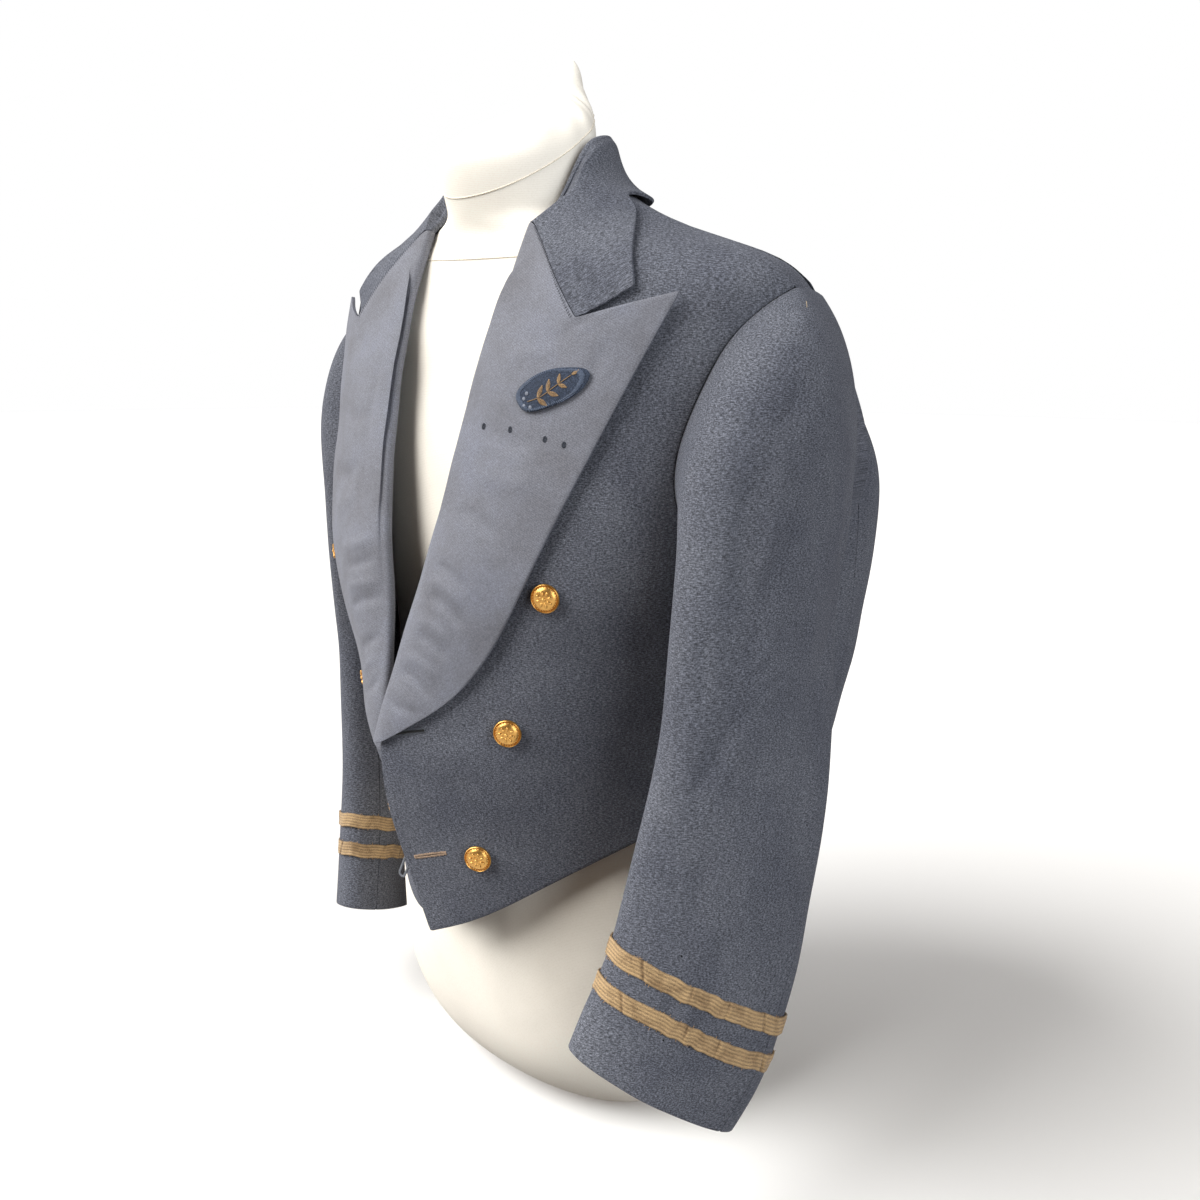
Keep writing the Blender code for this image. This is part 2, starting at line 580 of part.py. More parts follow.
def sleeve(side, seam, materials):
    hand = "left" if side == LEFT else "right"
    grid, normal = sleeve_grid(seam["arm"], LEFT_SLEEVE if side == LEFT else RIGHT_SLEEVE)
    facing = grid_normal(grid, closed=True)
    if (facing[12] * (grid[12] - grid[12].mean(0))).sum() < 0:
        facing = -facing
    grid = grid + facing * fold_lift(*grid.shape[:2], 0 if side == LEFT else 9)[..., None]
    turned_out = np.sign((grid_normal(grid, closed=True) * facing).sum(-1, keepdims=True))
    facing = grid_normal(grid, closed=True) * turned_out
    facing[0] = normal
    inner = grid - facing * CLOTH
    pieces = {
        "top_sleeve": np.arange(BACK_SEAM, FRONT_SEAM + 1),
        "under_sleeve": np.arange(FRONT_SEAM, BACK_SEAM + ARMHOLE_POINTS + 1),
    }
    for name, columns in pieces.items():
        chosen = columns % ARMHOLE_POINTS
        faces = [pull_in(sheet[:, chosen]) for sheet in (grid, inner)]
        wall(f"{name}_{hand}", *faces, materials["wool"], side)
    braid(side, hand, grid, facing, materials["braid"])


def braid(side, hand, grid, facing, material):
    """Two bands of lace round the cuff, made from the sleeve's own points."""
    step = np.linalg.norm(np.diff(grid, axis=0), axis=-1)
    from_hem = np.concatenate([np.cumsum(step[::-1], axis=0)[::-1], np.zeros((1, grid.shape[1]))])
    for number, low in enumerate((BRAID_LOW, BRAID_LOW + BRAID_WIDTH + BRAID_GAP), 1):
        under, over = [], []
        for distance in (low, low + BRAID_WIDTH):
            line, out = np.zeros((2, grid.shape[1], 3))
            for j in range(grid.shape[1]):
                line[j] = [np.interp(-distance, -from_hem[:, j], grid[:, j, k]) for k in range(3)]
                out[j] = [np.interp(-distance, -from_hem[:, j], facing[:, j, k]) for k in range(3)]
            under.append(line + unit(out) * REST)
            over.append(line + unit(out) * (REST + BRAID_CLOTH))
        ring_wall(f"cuff_braid_{number}_{hand}", np.stack(over), np.stack(under), material, side)


def gorge_points():
    """The seam of lapel and collar, from the roll line out to the notch."""
    return spread(in_turns(LAPEL_TOP[:3]), GORGE_POINTS)


def gorge_gap(u):
    """How far the top of the lapel and the collar's end stand off the front."""
    return REST + 0.0035 * np.sin(math.pi * u) + 0.004 * u**2


def lapel_grid(side):
    """The lapel's (turn, height) points from the roll line out, with the top row along the gorge."""
    columns = LAPEL_COLUMNS
    left = front_edge(side)[1]
    break_point = np.array(LEFT_FRONT_EDGE[-1] if side == LEFT else RIGHT_FRONT_EDGE[-1]) * (side, 1)
    right = spread(in_turns([break_point + (0.008, 0.004), *LAPEL_EDGE[1:]]), ROLL_ROWS)
    bottom = spread([left[0], right[0]], columns)
    peak = spread(in_turns(LAPEL_TOP[2:]), columns - GORGE_POINTS + 1)
    top = np.concatenate([gorge_points(), peak[1:]])
    left[-1], right[-1] = top[0], top[-1]
    return between(bottom, top, left, right)


def smoothed(directions):
    """Directions along an edge, evened out with their neighbours'."""
    for _ in range(4):
        around = np.concatenate([directions[:1], directions, directions[-1:]])
        directions = unit(around[:-2] + 2 * around[1:-1] + around[2:])
    return directions


def roll_frame(side):
    """Along the roll line: the middle of the front's edge, and the coat's outward and inward directions."""
    turn, z = lapel_grid(side)[:, 0].T
    lean = underlap(-turn, z) if side == RIGHT else 0.0
    edge = coat(turn, z, lean)
    normal = coat_normal(turn, z)
    inward = unit(np.cross(unit(np.gradient(edge, axis=0)), normal))
    inward, normal = smoothed(inward * -np.sign(inward[:, :1])), smoothed(normal)
    return edge - normal * CLOTH / 2 + inward * 0.0012, normal, inward


def lapel(side, material):
    """The silk-faced lapel: it wraps the front's edge at the roll line and lies on the front."""
    grid = lapel_grid(side)
    turn, z = grid[..., 0], grid[..., 1]
    rows, columns = turn.shape
    u = np.linspace(0, 1, columns)[None]
    v = np.linspace(0, 1, rows)[:, None]
    gap = REST + (gorge_gap(u) - REST) * (0.15 + 0.85 * ease(v, 0.0, 0.4))
    lean = underlap(-turn, z) if side == RIGHT else np.zeros_like(z)
    under = coat(turn, z, gap + lean)
    over = coat(turn, z, gap + lean + LAPEL_CLOTH)
    centre, normal, inward = roll_frame(side)
    wrap_in, wrap_out = [], []
    for degrees in (-90, -45, 0, 45):
        alpha = math.radians(degrees)
        direction = inward * math.cos(alpha) + normal * math.sin(alpha)
        wrap_in.append(centre + direction * (CLOTH / 2 + REST))
        wrap_out.append(centre + direction * (CLOTH / 2 + REST + LAPEL_CLOTH))
    outer = pull_in(np.concatenate([np.stack(wrap_out, 1), over], 1))
    inner = pull_in(np.concatenate([np.stack(wrap_in, 1), under], 1))
    wall("lapel_left" if side == LEFT else "lapel_right", outer, inner, material, side)
    return outer[:, 4:]


def collar_half():
    """The middle of one half of the collar's cloth: rows from the gorge to the centre back, columns from the
    neck seam up over the fold and out to the free edge. Also the way that the front end's cloth faces."""
    count = 18
    thick = CLOTH / 2
    front_neckline = [*in_turns(ROLL_LINE[-1:]), *in_turns([NECK_FRONT]), *in_radians(BACK_NECKLINE[:1])]
    neckline = np.concatenate([spread(front_neckline, 20), spread(in_radians(BACK_NECKLINE), 40)[1:]])
    edge_line = [*in_turns(COLLAR_EDGE_FRONT), *in_radians(COLLAR_EDGE_BACK)]
    front_end = spread(in_turns([LAPEL_TOP[2], COLLAR_POINT]), 4)
    edge = np.concatenate([front_end, spread(edge_line, count - 3)[1:]])
    sewn = spread(neckline, count)
    lapped = 1 - ease(np.linspace(0, 1, count), 0.1, 0.35)
    foot = coat(sewn[:, 0], sewn[:, 1], -thick - (CLOTH + REST) * lapped)
    fold = np.array(in_radians(FOLD))
    places = round_torso(FOLD_RING, fold[:, 0], fold[:, 1])
    length = np.r_[0, np.cumsum(np.linalg.norm(np.diff(places, axis=0), axis=1))]
    even = np.linspace(0, length[-1], count)
    turn, height = (monotone(even, length, fold[:, i]) for i in (0, 1))
    out = unit(round_torso(FOLD_RING, turn, height) * (1, 1, 0) - (0, -0.034, 0))
    head = round_torso(FOLD_RING, turn, height) - out * thick
    v = np.linspace(0, 1, count)[:, None]
    r = 0.0021 + 0.0008 * v + 0.0006 * (1 - ease(v, 0.0, 0.2))
    up = unit(np.cross(np.gradient(head, axis=0), out))
    up = up * np.sign(up[:, 2:])
    stand = [foot + unit(head - foot) * 0.0034 * ease(v, 0, 0.06), foot * 0.5 + head * 0.5 - up * r / 2, head - up * r]
    middle = head - up * r + out * r
    turned = [middle + r * (up * math.sin(a) - out * math.cos(a)) for a in np.radians([45, 90, 135])]
    start = middle + r * out
    seam = gorge_points()
    seam_normal = coat_normal(seam[:, 0], seam[:, 1])
    share = np.arange(GORGE_POINTS) / (LAPEL_COLUMNS - 1)
    gorge = coat(seam[:, 0], seam[:, 1], gorge_gap(share) + thick)
    arc = np.radians(np.linspace(-90, 75, 8))[:, None]
    edge_middle, outward, inward = (row[-1] for row in roll_frame(LEFT))
    reach = CLOTH / 2 + REST + LAPEL_CLOTH / 2
    radial = inward * np.cos(arc) + outward * np.sin(arc)
    front_roll = edge_middle + radial * reach
    gorge = np.concatenate([front_roll[-2:], gorge])
    start[0] = gorge[0]
    hem = coat(edge[:, 0], edge[:, 1], REST + thick + 0.0016)
    hem[0] = gorge[-1]
    behind = np.linspace(start[-1], hem[-1], len(gorge))
    fall = between(gorge, behind, start, hem)
    u = np.linspace(0, 1, len(gorge))[None]
    fall -= coat_out(fall) * (COLLAR_SAG * ease(v, 0.05, 0.35) * np.sin(math.pi * u) ** 0.7)[..., None]
    fall[1:, 1:] = off_coat(fall[1:, 1:], REST + thick + 0.0016)
    rows = np.concatenate([np.stack(stand + turned, 1), fall], 1)
    rows[0, :8] = front_roll
    return rows, np.concatenate([radial, seam_normal])


def coat_turn(points):
    """The coat's turn beside each of these points."""
    at = section(COAT, points[..., 2])
    ahead = points[..., 1] < at["side_y"]
    depth = np.where(ahead, at["side_y"] - at["front_y"], at["back_y"] - at["side_y"])
    return np.arctan2(points[..., 0] / at["half_width"], (at["side_y"] - points[..., 1]) / depth)


def coat_out(points):
    """The coat's outward direction beside each of these points."""
    return coat_normal(coat_turn(points), points[..., 2])


def off_coat(points, gap):
    """Moves points out until each is at least this gap off the coat."""
    for _ in range(3):
        turn = coat_turn(points)
        normal = coat_normal(turn, points[..., 2])
        here = ((points - coat(turn, points[..., 2])) * normal).sum(-1)
        points = points + normal * np.maximum(gap - here, 0)[..., None]
    return points


def collar(material):
    """Stand and fall in one cloth, from the left gorge round the neck to the right one."""
    half, end_facing = collar_half()
    centre = np.concatenate([half, half[-2::-1] * (-1, 1, 1)])
    facing = grid_normal(centre)
    if facing[len(half) - 1, -1, 1] < 0:
        facing = -facing
    facing[0], facing[-1] = end_facing, end_facing * (-1, 1, 1)
    thick = CLOTH / 2
    over, under = pull_in(centre + facing * thick), pull_in(centre - facing * thick)
    wall("collar", over, under, material)


def frame_at(point, normal):
    """The across and up directions on a panel, at a point with this outward normal."""
    across = unit(np.cross((0, 0, 1.0), normal))
    return across, np.cross(normal, across)


def button(number, side, place, front_face, material):
    """A domed button with a raised rim, on a short shank that stands on the front's own points."""
    around = 14
    line, out = on_sheet(front_face, front_face[..., [0, 2]], [place])
    point, normal = line[0], out[0]
    across, up = frame_at(point, normal)
    angle = np.linspace(0, 2 * math.pi, around, endpoint=False)[:, None]
    spokes = across * np.cos(angle) + up * np.sin(angle)
    rings = np.stack([point + normal * height + spokes * radius for radius, height in BUTTON_PROFILE])
    hand = "left" if side == LEFT else "right"
    lofted(f"button_{number}_{hand}", rings, material, side)


def patch(lapel_face, material):
    """The felt patch of the lapel's embroidered sprig, made from the lapel's own points."""
    flat = lapel_face[..., [0, 2]]
    centre = np.array(PATCH_MIDDLE)
    tilt = math.radians(PATCH_TILT)
    long_way, short_way = np.array([math.cos(tilt), math.sin(tilt)]), np.array([-math.sin(tilt), math.cos(tilt)])
    around = np.linspace(0, 2 * math.pi, 20, endpoint=False)
    edge = 1 + 0.05 * np.cos(3 * around) + 0.03 * np.sin(5 * around)
    over, under = [], []
    for share in (0.02, 0.45, 0.8, 1.0):
        a = np.sign(np.cos(around)) * np.abs(np.cos(around)) ** 0.9 * edge * share * PATCH_LENGTH / 2
        b = np.sin(around) * edge * share * PATCH_HEIGHT / 2
        wanted = centre + a[:, None] * long_way + b[:, None] * short_way
        line, out = on_sheet(lapel_face, flat, wanted)
        swell = PATCH_CLOTH * (1 - 0.35 * share**6)
        over.append(line + out * (REST + swell))
        under.append(line + out * REST)
    rings = np.stack(under + over[::-1])
    lofted("sprig_patch", rings, material)


def on_sheet(sheet, flat, wanted):
    """Points of a sheet, and its normals there, that lie at the wanted places of the front view."""
    facing = grid_normal(sheet)
    if facing[..., 1].mean() > 0:
        facing = -facing
    line, out = [], []
    for place in wanted:
        i, j = np.unravel_index(np.argmin(((flat - place) ** 2).sum(-1)), flat.shape[:2])
        spot = np.array([i, j], float)
        for _ in range(12):
            i = int(np.clip(spot[0], 0, flat.shape[0] - 2))
            j = int(np.clip(spot[1], 0, flat.shape[1] - 2))
            s, t = spot - (i, j)
            weights = ((1 - s) * (1 - t), (1 - s) * t, s * (1 - t), s * t)
            corners = ((i, j), (i, j + 1), (i + 1, j), (i + 1, j + 1))
            here = sum(w * flat[c] for w, c in zip(weights, corners))
            down = (1 - t) * (flat[i + 1, j] - flat[i, j]) + t * (flat[i + 1, j + 1] - flat[i, j + 1])
            over = (1 - s) * (flat[i, j + 1] - flat[i, j]) + s * (flat[i + 1, j + 1] - flat[i + 1, j])
            spot = spot + np.linalg.solve(np.stack([down, over], 1), place - here)
        line.append(sum(w * sheet[c] for w, c in zip(weights, corners)))
        out.append(unit(sum(w * facing[c] for w, c in zip(weights, corners))))
    return np.array(line), np.array(out)


def loop(material):
    """The narrow cloth loop that is sewn behind the left front's edge."""
    turn, z = front_turn(*LOOP_MIDDLE), LOOP_MIDDLE[1]
    depth = CLOTH + 0.0016
    point, normal = coat(turn, z, -depth), coat_normal(turn, z)
    across, up = frame_at(point, normal)
    half, reach = (LOOP_WIDTH - LOOP_TAPE) / 2, LOOP_LENGTH / 2
    tip = [(-reach + half - half * math.sin(a), half * math.cos(a)) for a in np.linspace(0, math.pi, 7)]
    path = [(reach, half), *tip, (reach, -half)]
    lean = math.radians(62)
    outer, inner = [], []
    for i, (a, b) in enumerate(path):
        before, after = np.array(path[max(i - 1, 0)]), np.array(path[min(i + 1, len(path) - 1)])
        side_way = unit(np.array([-(after - before)[1], (after - before)[0]]))
        for face, sheet in ((0.0005, outer), (-0.0005, inner)):
            row = []
            for shift in (-LOOP_TAPE / 2, LOOP_TAPE / 2):
                c, d = a + side_way[0] * shift, b + side_way[1] * shift
                e, f = c * math.cos(lean) - d * math.sin(lean), c * math.sin(lean) + d * math.cos(lean)
                row.append(point + across * e + up * f + normal * face)
            sheet.append(row)
    wall("fastening_loop", np.array(outer), np.array(inner), material)


def dress_form(material):
    around = 28
    turn = np.linspace(0, 2 * math.pi, around, endpoint=False)
    lower = np.r_[[0, 0.004, 0.014, 0.034, 0.066], np.linspace(0.105, 0.56, 11)]
    rest = np.array([0.585, 0.605, 0.624, 0.638, 0.648, 0.656, 0.663, 0.669, 0.675, 0.682, 0.690])
    neck = np.array([0.700, 0.709, 0.720, 0.738, 0.747, 0.756, 0.765, 0.774, 0.782, 0.790, 0.801, 0.812, 0.821])
    rings = [round_torso(FORM_LOWER, turn, z) for z in lower]
    off_front = 0.006 * (1 - ease(np.abs((turn + math.pi) % (2 * math.pi) - math.pi), 0.7, 1.25))
    for z in rest:
        share = ease(z, REST_LOW, REST_HIGH)
        off_neck = off_front * (1 - 0.5 * ease(z, 0.640, 0.685))
        low = round_torso(FORM_LOWER, turn, min(z, FORM_LOWER[-1][0]))
        low[:, 2] = z
        outside = round_torso(COAT, turn, z)
        behind = 0.003 * ease(-np.cos(turn), 0.0, 0.4)
        clear = CLOTH + FORM_CLEAR + off_neck + behind + 0.010 * ease(np.abs(outside[:, 0]), 0.15, 0.21)
        near = outside - coat_normal(turn, z) * clear[:, None]
        rings.append(low * (1 - share) + near * share)
    rings += [round_torso(FORM_NECK, turn, z) for z in neck]
    return lofted("dress_form", np.stack(rings), material)


def main():
    for old in list(bpy.data.objects):
        bpy.data.objects.remove(old, do_unlink=True)
    materials = {
        "wool": finish("barathea wool", (0.085, 0.105, 0.150), 0.9),
        "silk": finish("ribbed silk facing", (0.155, 0.175, 0.235), 0.6),
        "braid": finish("tarnished cuff lace", (0.330, 0.225, 0.130), 0.7),
        "brass": finish("gilt brass", (0.620, 0.400, 0.150), 0.35, 1.0),
        "felt": finish("dark felt", (0.020, 0.024, 0.045), 0.95),
        "jersey": finish("cream jersey", (0.820, 0.770, 0.660), 0.9),
    }
    seam = seams()
    for side in (LEFT, RIGHT):
        front_face = front_panel(side, seam, materials["wool"])
        side_body(side, seam, materials["wool"])
        back_panel(side, seam, materials["wool"])
        sleeve(side, seam, materials)
        face = lapel(side, materials["silk"])
        if side == LEFT:
            patch(face, materials["felt"])
        for number, place in enumerate(BUTTONS, 1):
            button(number, side, place, front_face, materials["brass"])
    collar(materials["wool"])
    loop(materials["wool"])
    dress_form(materials["jersey"])


main()
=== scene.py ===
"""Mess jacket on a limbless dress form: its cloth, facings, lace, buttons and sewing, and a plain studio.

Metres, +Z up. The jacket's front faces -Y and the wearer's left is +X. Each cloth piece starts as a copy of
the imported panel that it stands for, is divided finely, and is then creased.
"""

import math

import bmesh
import bpy
import numpy as np
from mathutils import Matrix, Vector
from mathutils.bvhtree import BVHTree


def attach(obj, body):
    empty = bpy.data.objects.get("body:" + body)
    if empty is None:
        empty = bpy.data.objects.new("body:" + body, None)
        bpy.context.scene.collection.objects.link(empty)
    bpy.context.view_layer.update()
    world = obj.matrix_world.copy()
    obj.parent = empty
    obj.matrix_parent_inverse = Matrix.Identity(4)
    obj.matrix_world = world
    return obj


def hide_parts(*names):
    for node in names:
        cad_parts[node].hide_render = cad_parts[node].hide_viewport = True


bl_info = {
    "name": "Mess Jacket",
    "version": (1, 0, 0),
    "blender": (4, 5, 0),
    "location": "3D View > Sidebar > Mess Jacket",
    "description": "Dresses a packed mess jacket and its dress form, and lights them",
    "category": "Add Mesh",
}

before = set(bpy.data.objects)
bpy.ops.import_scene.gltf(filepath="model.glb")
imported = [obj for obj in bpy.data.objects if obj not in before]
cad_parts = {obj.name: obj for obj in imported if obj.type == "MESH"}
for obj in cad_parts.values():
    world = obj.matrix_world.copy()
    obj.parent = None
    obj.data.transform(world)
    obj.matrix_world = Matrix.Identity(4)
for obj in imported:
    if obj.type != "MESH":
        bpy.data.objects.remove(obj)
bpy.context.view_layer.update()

SIDES = (("left", 1), ("right", -1))

# Soft folds laid in one by one. Each row is the way it is looked at, its depth (a trough is negative) and its
# half width in millimetres, then its line as (across, height) in that view. Across is x from the front or the
# back, and y from the side. The wearer's right side takes mirrored places.
FRONT_FOLDS = {
    "left": (
        ("front", -0.9, 11, ((0.150, 0.470), (0.168, 0.430), (0.172, 0.380))),
        ("front", 0.8, 12, ((0.128, 0.400), (0.140, 0.350), (0.138, 0.300))),
        ("front", -0.7, 9, ((0.030, 0.330), (0.062, 0.338), (0.090, 0.362))),
        ("front", -0.5, 8, ((0.020, 0.300), (0.050, 0.296), (0.082, 0.302))),
        ("front", -0.6, 10, ((0.160, 0.600), (0.172, 0.560), (0.178, 0.520))),
        ("front", 0.5, 12, ((0.110, 0.290), (0.120, 0.260), (0.122, 0.240))),
        ("front", -0.45, 7, ((0.070, 0.262), (0.088, 0.246), (0.104, 0.240))),
    ),
    "right": (
        ("front", -0.9, 11, ((0.148, 0.474), (0.166, 0.440), (0.170, 0.390))),
        ("front", 0.8, 12, ((0.120, 0.400), (0.134, 0.350), (0.134, 0.305))),
        ("front", -0.7, 9, ((0.040, 0.326), (0.070, 0.330), (0.095, 0.350))),
        ("front", -0.5, 8, ((0.030, 0.280), (0.060, 0.280), (0.090, 0.290))),
        ("front", -0.6, 10, ((0.158, 0.606), (0.170, 0.565), (0.176, 0.525))),
    ),
}
LAPEL_FOLDS = {
    "left": (
        ("front", -0.75, 3.4, ((0.044, 0.461), (0.060, 0.456), (0.080, 0.444))),
        ("front", -1.0, 3.6, ((0.036, 0.438), (0.054, 0.434), (0.078, 0.417))),
        ("front", 0.7, 3.5, ((0.038, 0.449), (0.056, 0.445), (0.076, 0.432))),
        ("front", -0.9, 3.2, ((0.030, 0.409), (0.046, 0.405), (0.064, 0.393))),
        ("front", 0.6, 3.0, ((0.028, 0.420), (0.048, 0.416), (0.066, 0.404))),
        ("front", -1.0, 3.4, ((0.016, 0.382), (0.034, 0.377), (0.052, 0.362))),
        ("front", 0.7, 3.0, ((0.020, 0.393), (0.040, 0.388), (0.058, 0.376))),
        ("front", -0.8, 2.8, ((0.006, 0.360), (0.022, 0.354), (0.038, 0.343))),
        ("front", 0.5, 2.6, ((0.008, 0.370), (0.026, 0.364), (0.042, 0.353))),
        ("front", -0.5, 5.0, ((0.056, 0.500), (0.078, 0.494), (0.102, 0.480))),
        ("front", -0.5, 6.0, ((0.068, 0.560), (0.090, 0.548), (0.120, 0.545))),
        ("front", 0.5, 6.5, ((0.070, 0.530), (0.095, 0.520), (0.125, 0.522))),
        ("front", -0.5, 5.0, ((0.140, 0.585), (0.150, 0.600), (0.154, 0.618))),
        ("front", 0.45, 6.0, ((0.075, 0.600), (0.100, 0.606), (0.125, 0.604))),
        ("front", -0.4, 5.0, ((0.072, 0.640), (0.088, 0.632), (0.100, 0.628))),
        ("front", -0.4, 3.5, ((0.090, 0.470), (0.100, 0.452), (0.104, 0.440))),
    ),
    "right": (
        ("front", -0.9, 4.0, ((0.030, 0.455), (0.055, 0.446), (0.082, 0.440))),
        ("front", 0.7, 4.0, ((0.034, 0.468), (0.060, 0.460), (0.090, 0.452))),
        ("front", -1.0, 3.6, ((0.020, 0.426), (0.044, 0.420), (0.066, 0.410))),
        ("front", 0.7, 3.4, ((0.022, 0.438), (0.048, 0.432), (0.074, 0.424))),
        ("front", -0.9, 3.2, ((0.010, 0.396), (0.030, 0.392), (0.048, 0.380))),
        ("front", -0.8, 3.2, ((0.004, 0.366), (0.020, 0.360), (0.034, 0.350))),
        ("front", 0.6, 3.0, ((0.008, 0.380), (0.028, 0.376), (0.042, 0.364))),
        ("front", -0.8, 6.0, ((0.070, 0.520), (0.096, 0.508), (0.128, 0.512))),
        ("front", 0.7, 6.5, ((0.068, 0.500), (0.090, 0.488), (0.116, 0.484))),
        ("front", -0.5, 5.5, ((0.066, 0.560), (0.092, 0.552), (0.130, 0.556))),
        ("front", -0.5, 4.0, ((0.092, 0.600), (0.112, 0.610), (0.128, 0.612))),
        ("front", -0.5, 4.0, ((0.068, 0.610), (0.070, 0.570), (0.066, 0.530))),
    ),
}
SLEEVE_FOLDS = {
    "left": (
        ("side", 1.8, 5.5, ((-0.042, 0.568), (-0.049, 0.538), (-0.056, 0.500), (-0.070, 0.449))),
        ("side", -1.9, 6.0, ((-0.062, 0.550), (-0.073, 0.517), (-0.079, 0.474), (-0.077, 0.440))),
        ("side", -1.5, 5.5, ((-0.034, 0.512), (-0.043, 0.490), (-0.060, 0.462), (-0.068, 0.435))),
        ("side", -1.2, 6.0, ((-0.088, 0.590), (-0.074, 0.568), (-0.060, 0.556))),
        ("side", 0.9, 6.0, ((-0.092, 0.572), (-0.082, 0.548), (-0.070, 0.534))),
        ("side", -1.2, 6.0, ((-0.026, 0.596), (-0.040, 0.574), (-0.056, 0.562))),
        ("side", 1.0, 5.5, ((-0.028, 0.572), (-0.034, 0.546), (-0.036, 0.524))),
        ("side", -1.3, 2.8, ((-0.078, 0.404), (-0.068, 0.411), (-0.056, 0.420))),
        ("side", 1.2, 2.6, ((-0.074, 0.411), (-0.064, 0.419), (-0.054, 0.429))),
        ("side", -1.2, 2.8, ((-0.072, 0.396), (-0.062, 0.400), (-0.053, 0.410))),
        ("side", 1.1, 2.8, ((-0.060, 0.418), (-0.058, 0.404), (-0.060, 0.388))),
        ("side", -1.0, 3.0, ((-0.092, 0.412), (-0.085, 0.400), (-0.082, 0.384))),
        ("side", 0.9, 2.8, ((-0.086, 0.414), (-0.079, 0.401), (-0.076, 0.386))),
        ("side", -1.4, 4.5, ((-0.058, 0.442), (-0.070, 0.430), (-0.081, 0.412))),
        ("side", -1.2, 5.0, ((-0.072, 0.392), (-0.090, 0.376), (-0.106, 0.346), (-0.114, 0.320))),
        ("side", 0.9, 5.0, ((-0.066, 0.384), (-0.082, 0.366), (-0.096, 0.338), (-0.104, 0.314))),
        ("side", -1.0, 5.5, ((-0.058, 0.378), (-0.070, 0.352), (-0.078, 0.322), (-0.080, 0.296))),
        ("side", -1.0, 5.5, ((-0.100, 0.448), (-0.104, 0.418), (-0.104, 0.384))),
        ("side", -1.2, 6.0, ((-0.024, 0.556), (-0.018, 0.520), (-0.014, 0.486), (-0.006, 0.462))),
        ("side", 1.0, 5.5, ((-0.014, 0.552), (-0.008, 0.520), (-0.004, 0.492))),
        ("side", 0.8, 7.0, ((-0.016, 0.470), (-0.018, 0.430), (-0.024, 0.395))),
        ("side", -1.3, 3.0, ((-0.0135, 0.645), (-0.0165, 0.636), (-0.0195, 0.626))),
        ("side", 0.8, 3.5, ((-0.009, 0.643), (-0.012, 0.633), (-0.015, 0.622))),
        ("side", -0.9, 6.0, ((-0.100, 0.300), (-0.110, 0.270), (-0.110, 0.240))),
        ("side", 0.8, 6.0, ((-0.074, 0.290), (-0.084, 0.262), (-0.088, 0.236))),
        ("side", -1.0, 3.5, ((-0.123, 0.206), (-0.130, 0.190), (-0.133, 0.174))),
        ("side", -0.9, 3.5, ((-0.110, 0.192), (-0.116, 0.176), (-0.119, 0.160))),
        ("side", 0.7, 3.5, ((-0.116, 0.200), (-0.122, 0.184), (-0.126, 0.168))),
        ("side", -0.8, 4.5, ((-0.096, 0.240), (-0.101, 0.224), (-0.101, 0.208))),
        ("side", -0.9, 5.0, ((0.030, 0.520), (0.024, 0.490), (0.026, 0.460))),
        ("side", -1.1, 6.0, ((0.018, 0.430), (0.004, 0.412), (-0.012, 0.400))),
        ("side", 0.9, 6.0, ((0.020, 0.408), (0.004, 0.392), (-0.014, 0.382))),
        ("side", -0.9, 6.0, ((-0.010, 0.360), (-0.026, 0.345), (-0.046, 0.336))),
    ),
    "right": (
        ("side", -1.6, 6.5, ((-0.050, 0.545), (-0.056, 0.515), (-0.056, 0.480), (-0.048, 0.450))),
        ("side", 1.4, 6.0, ((-0.036, 0.540), (-0.040, 0.510), (-0.040, 0.475))),
        ("side", -1.3, 5.5, ((-0.022, 0.590), (-0.030, 0.566), (-0.046, 0.548))),
        ("side", -1.3, 4.0, ((-0.030, 0.430), (-0.040, 0.415), (-0.046, 0.395))),
        ("side", 1.1, 4.0, ((-0.020, 0.420), (-0.030, 0.404), (-0.038, 0.386))),
        ("side", -1.1, 4.0, ((-0.014, 0.405), (-0.024, 0.388), (-0.030, 0.368))),
        ("side", -1.1, 6.0, ((0.010, 0.470), (0.018, 0.440), (0.014, 0.405))),
        ("side", 0.9, 7.0, ((0.030, 0.480), (0.036, 0.445), (0.034, 0.410))),
        ("side", -1.0, 6.0, ((-0.010, 0.340), (-0.016, 0.310), (-0.014, 0.280))),
        ("side", -0.9, 5.5, ((0.012, 0.300), (0.004, 0.270), (-0.002, 0.240))),
        ("side", 0.8, 6.0, ((-0.030, 0.290), (-0.036, 0.262), (-0.036, 0.236))),
        ("side", -0.8, 4.5, ((-0.050, 0.180), (-0.056, 0.164), (-0.058, 0.150))),
        ("side", -0.8, 4.5, ((-0.020, 0.200), (-0.026, 0.186), (-0.028, 0.172))),
        ("side", -1.0, 6.0, ((0.060, 0.430), (0.048, 0.410), (0.034, 0.396))),
        ("side", 0.9, 6.0, ((0.062, 0.405), (0.048, 0.388), (0.032, 0.378))),
    ),
}
BACK_FOLDS = (
    ("back", -1.2, 12, ((0.020, 0.690), (0.060, 0.670), (0.110, 0.655))),
    ("back", -1.0, 11, ((0.150, 0.600), (0.140, 0.560), (0.136, 0.520))),
    ("back", 0.9, 13, ((0.120, 0.600), (0.112, 0.550), (0.112, 0.500))),
    ("back", -1.0, 12, ((0.060, 0.470), (0.066, 0.430), (0.062, 0.390))),
    ("back", 0.9, 12, ((0.090, 0.440), (0.098, 0.400), (0.096, 0.360))),
    ("back", -1.1, 10, ((0.020, 0.370), (0.060, 0.362), (0.110, 0.372))),
    ("back", -0.8, 9, ((0.040, 0.330), (0.070, 0.322), (0.100, 0.330))),
    ("back", 0.7, 10, ((0.030, 0.350), (0.070, 0.342), (0.105, 0.350))),
)
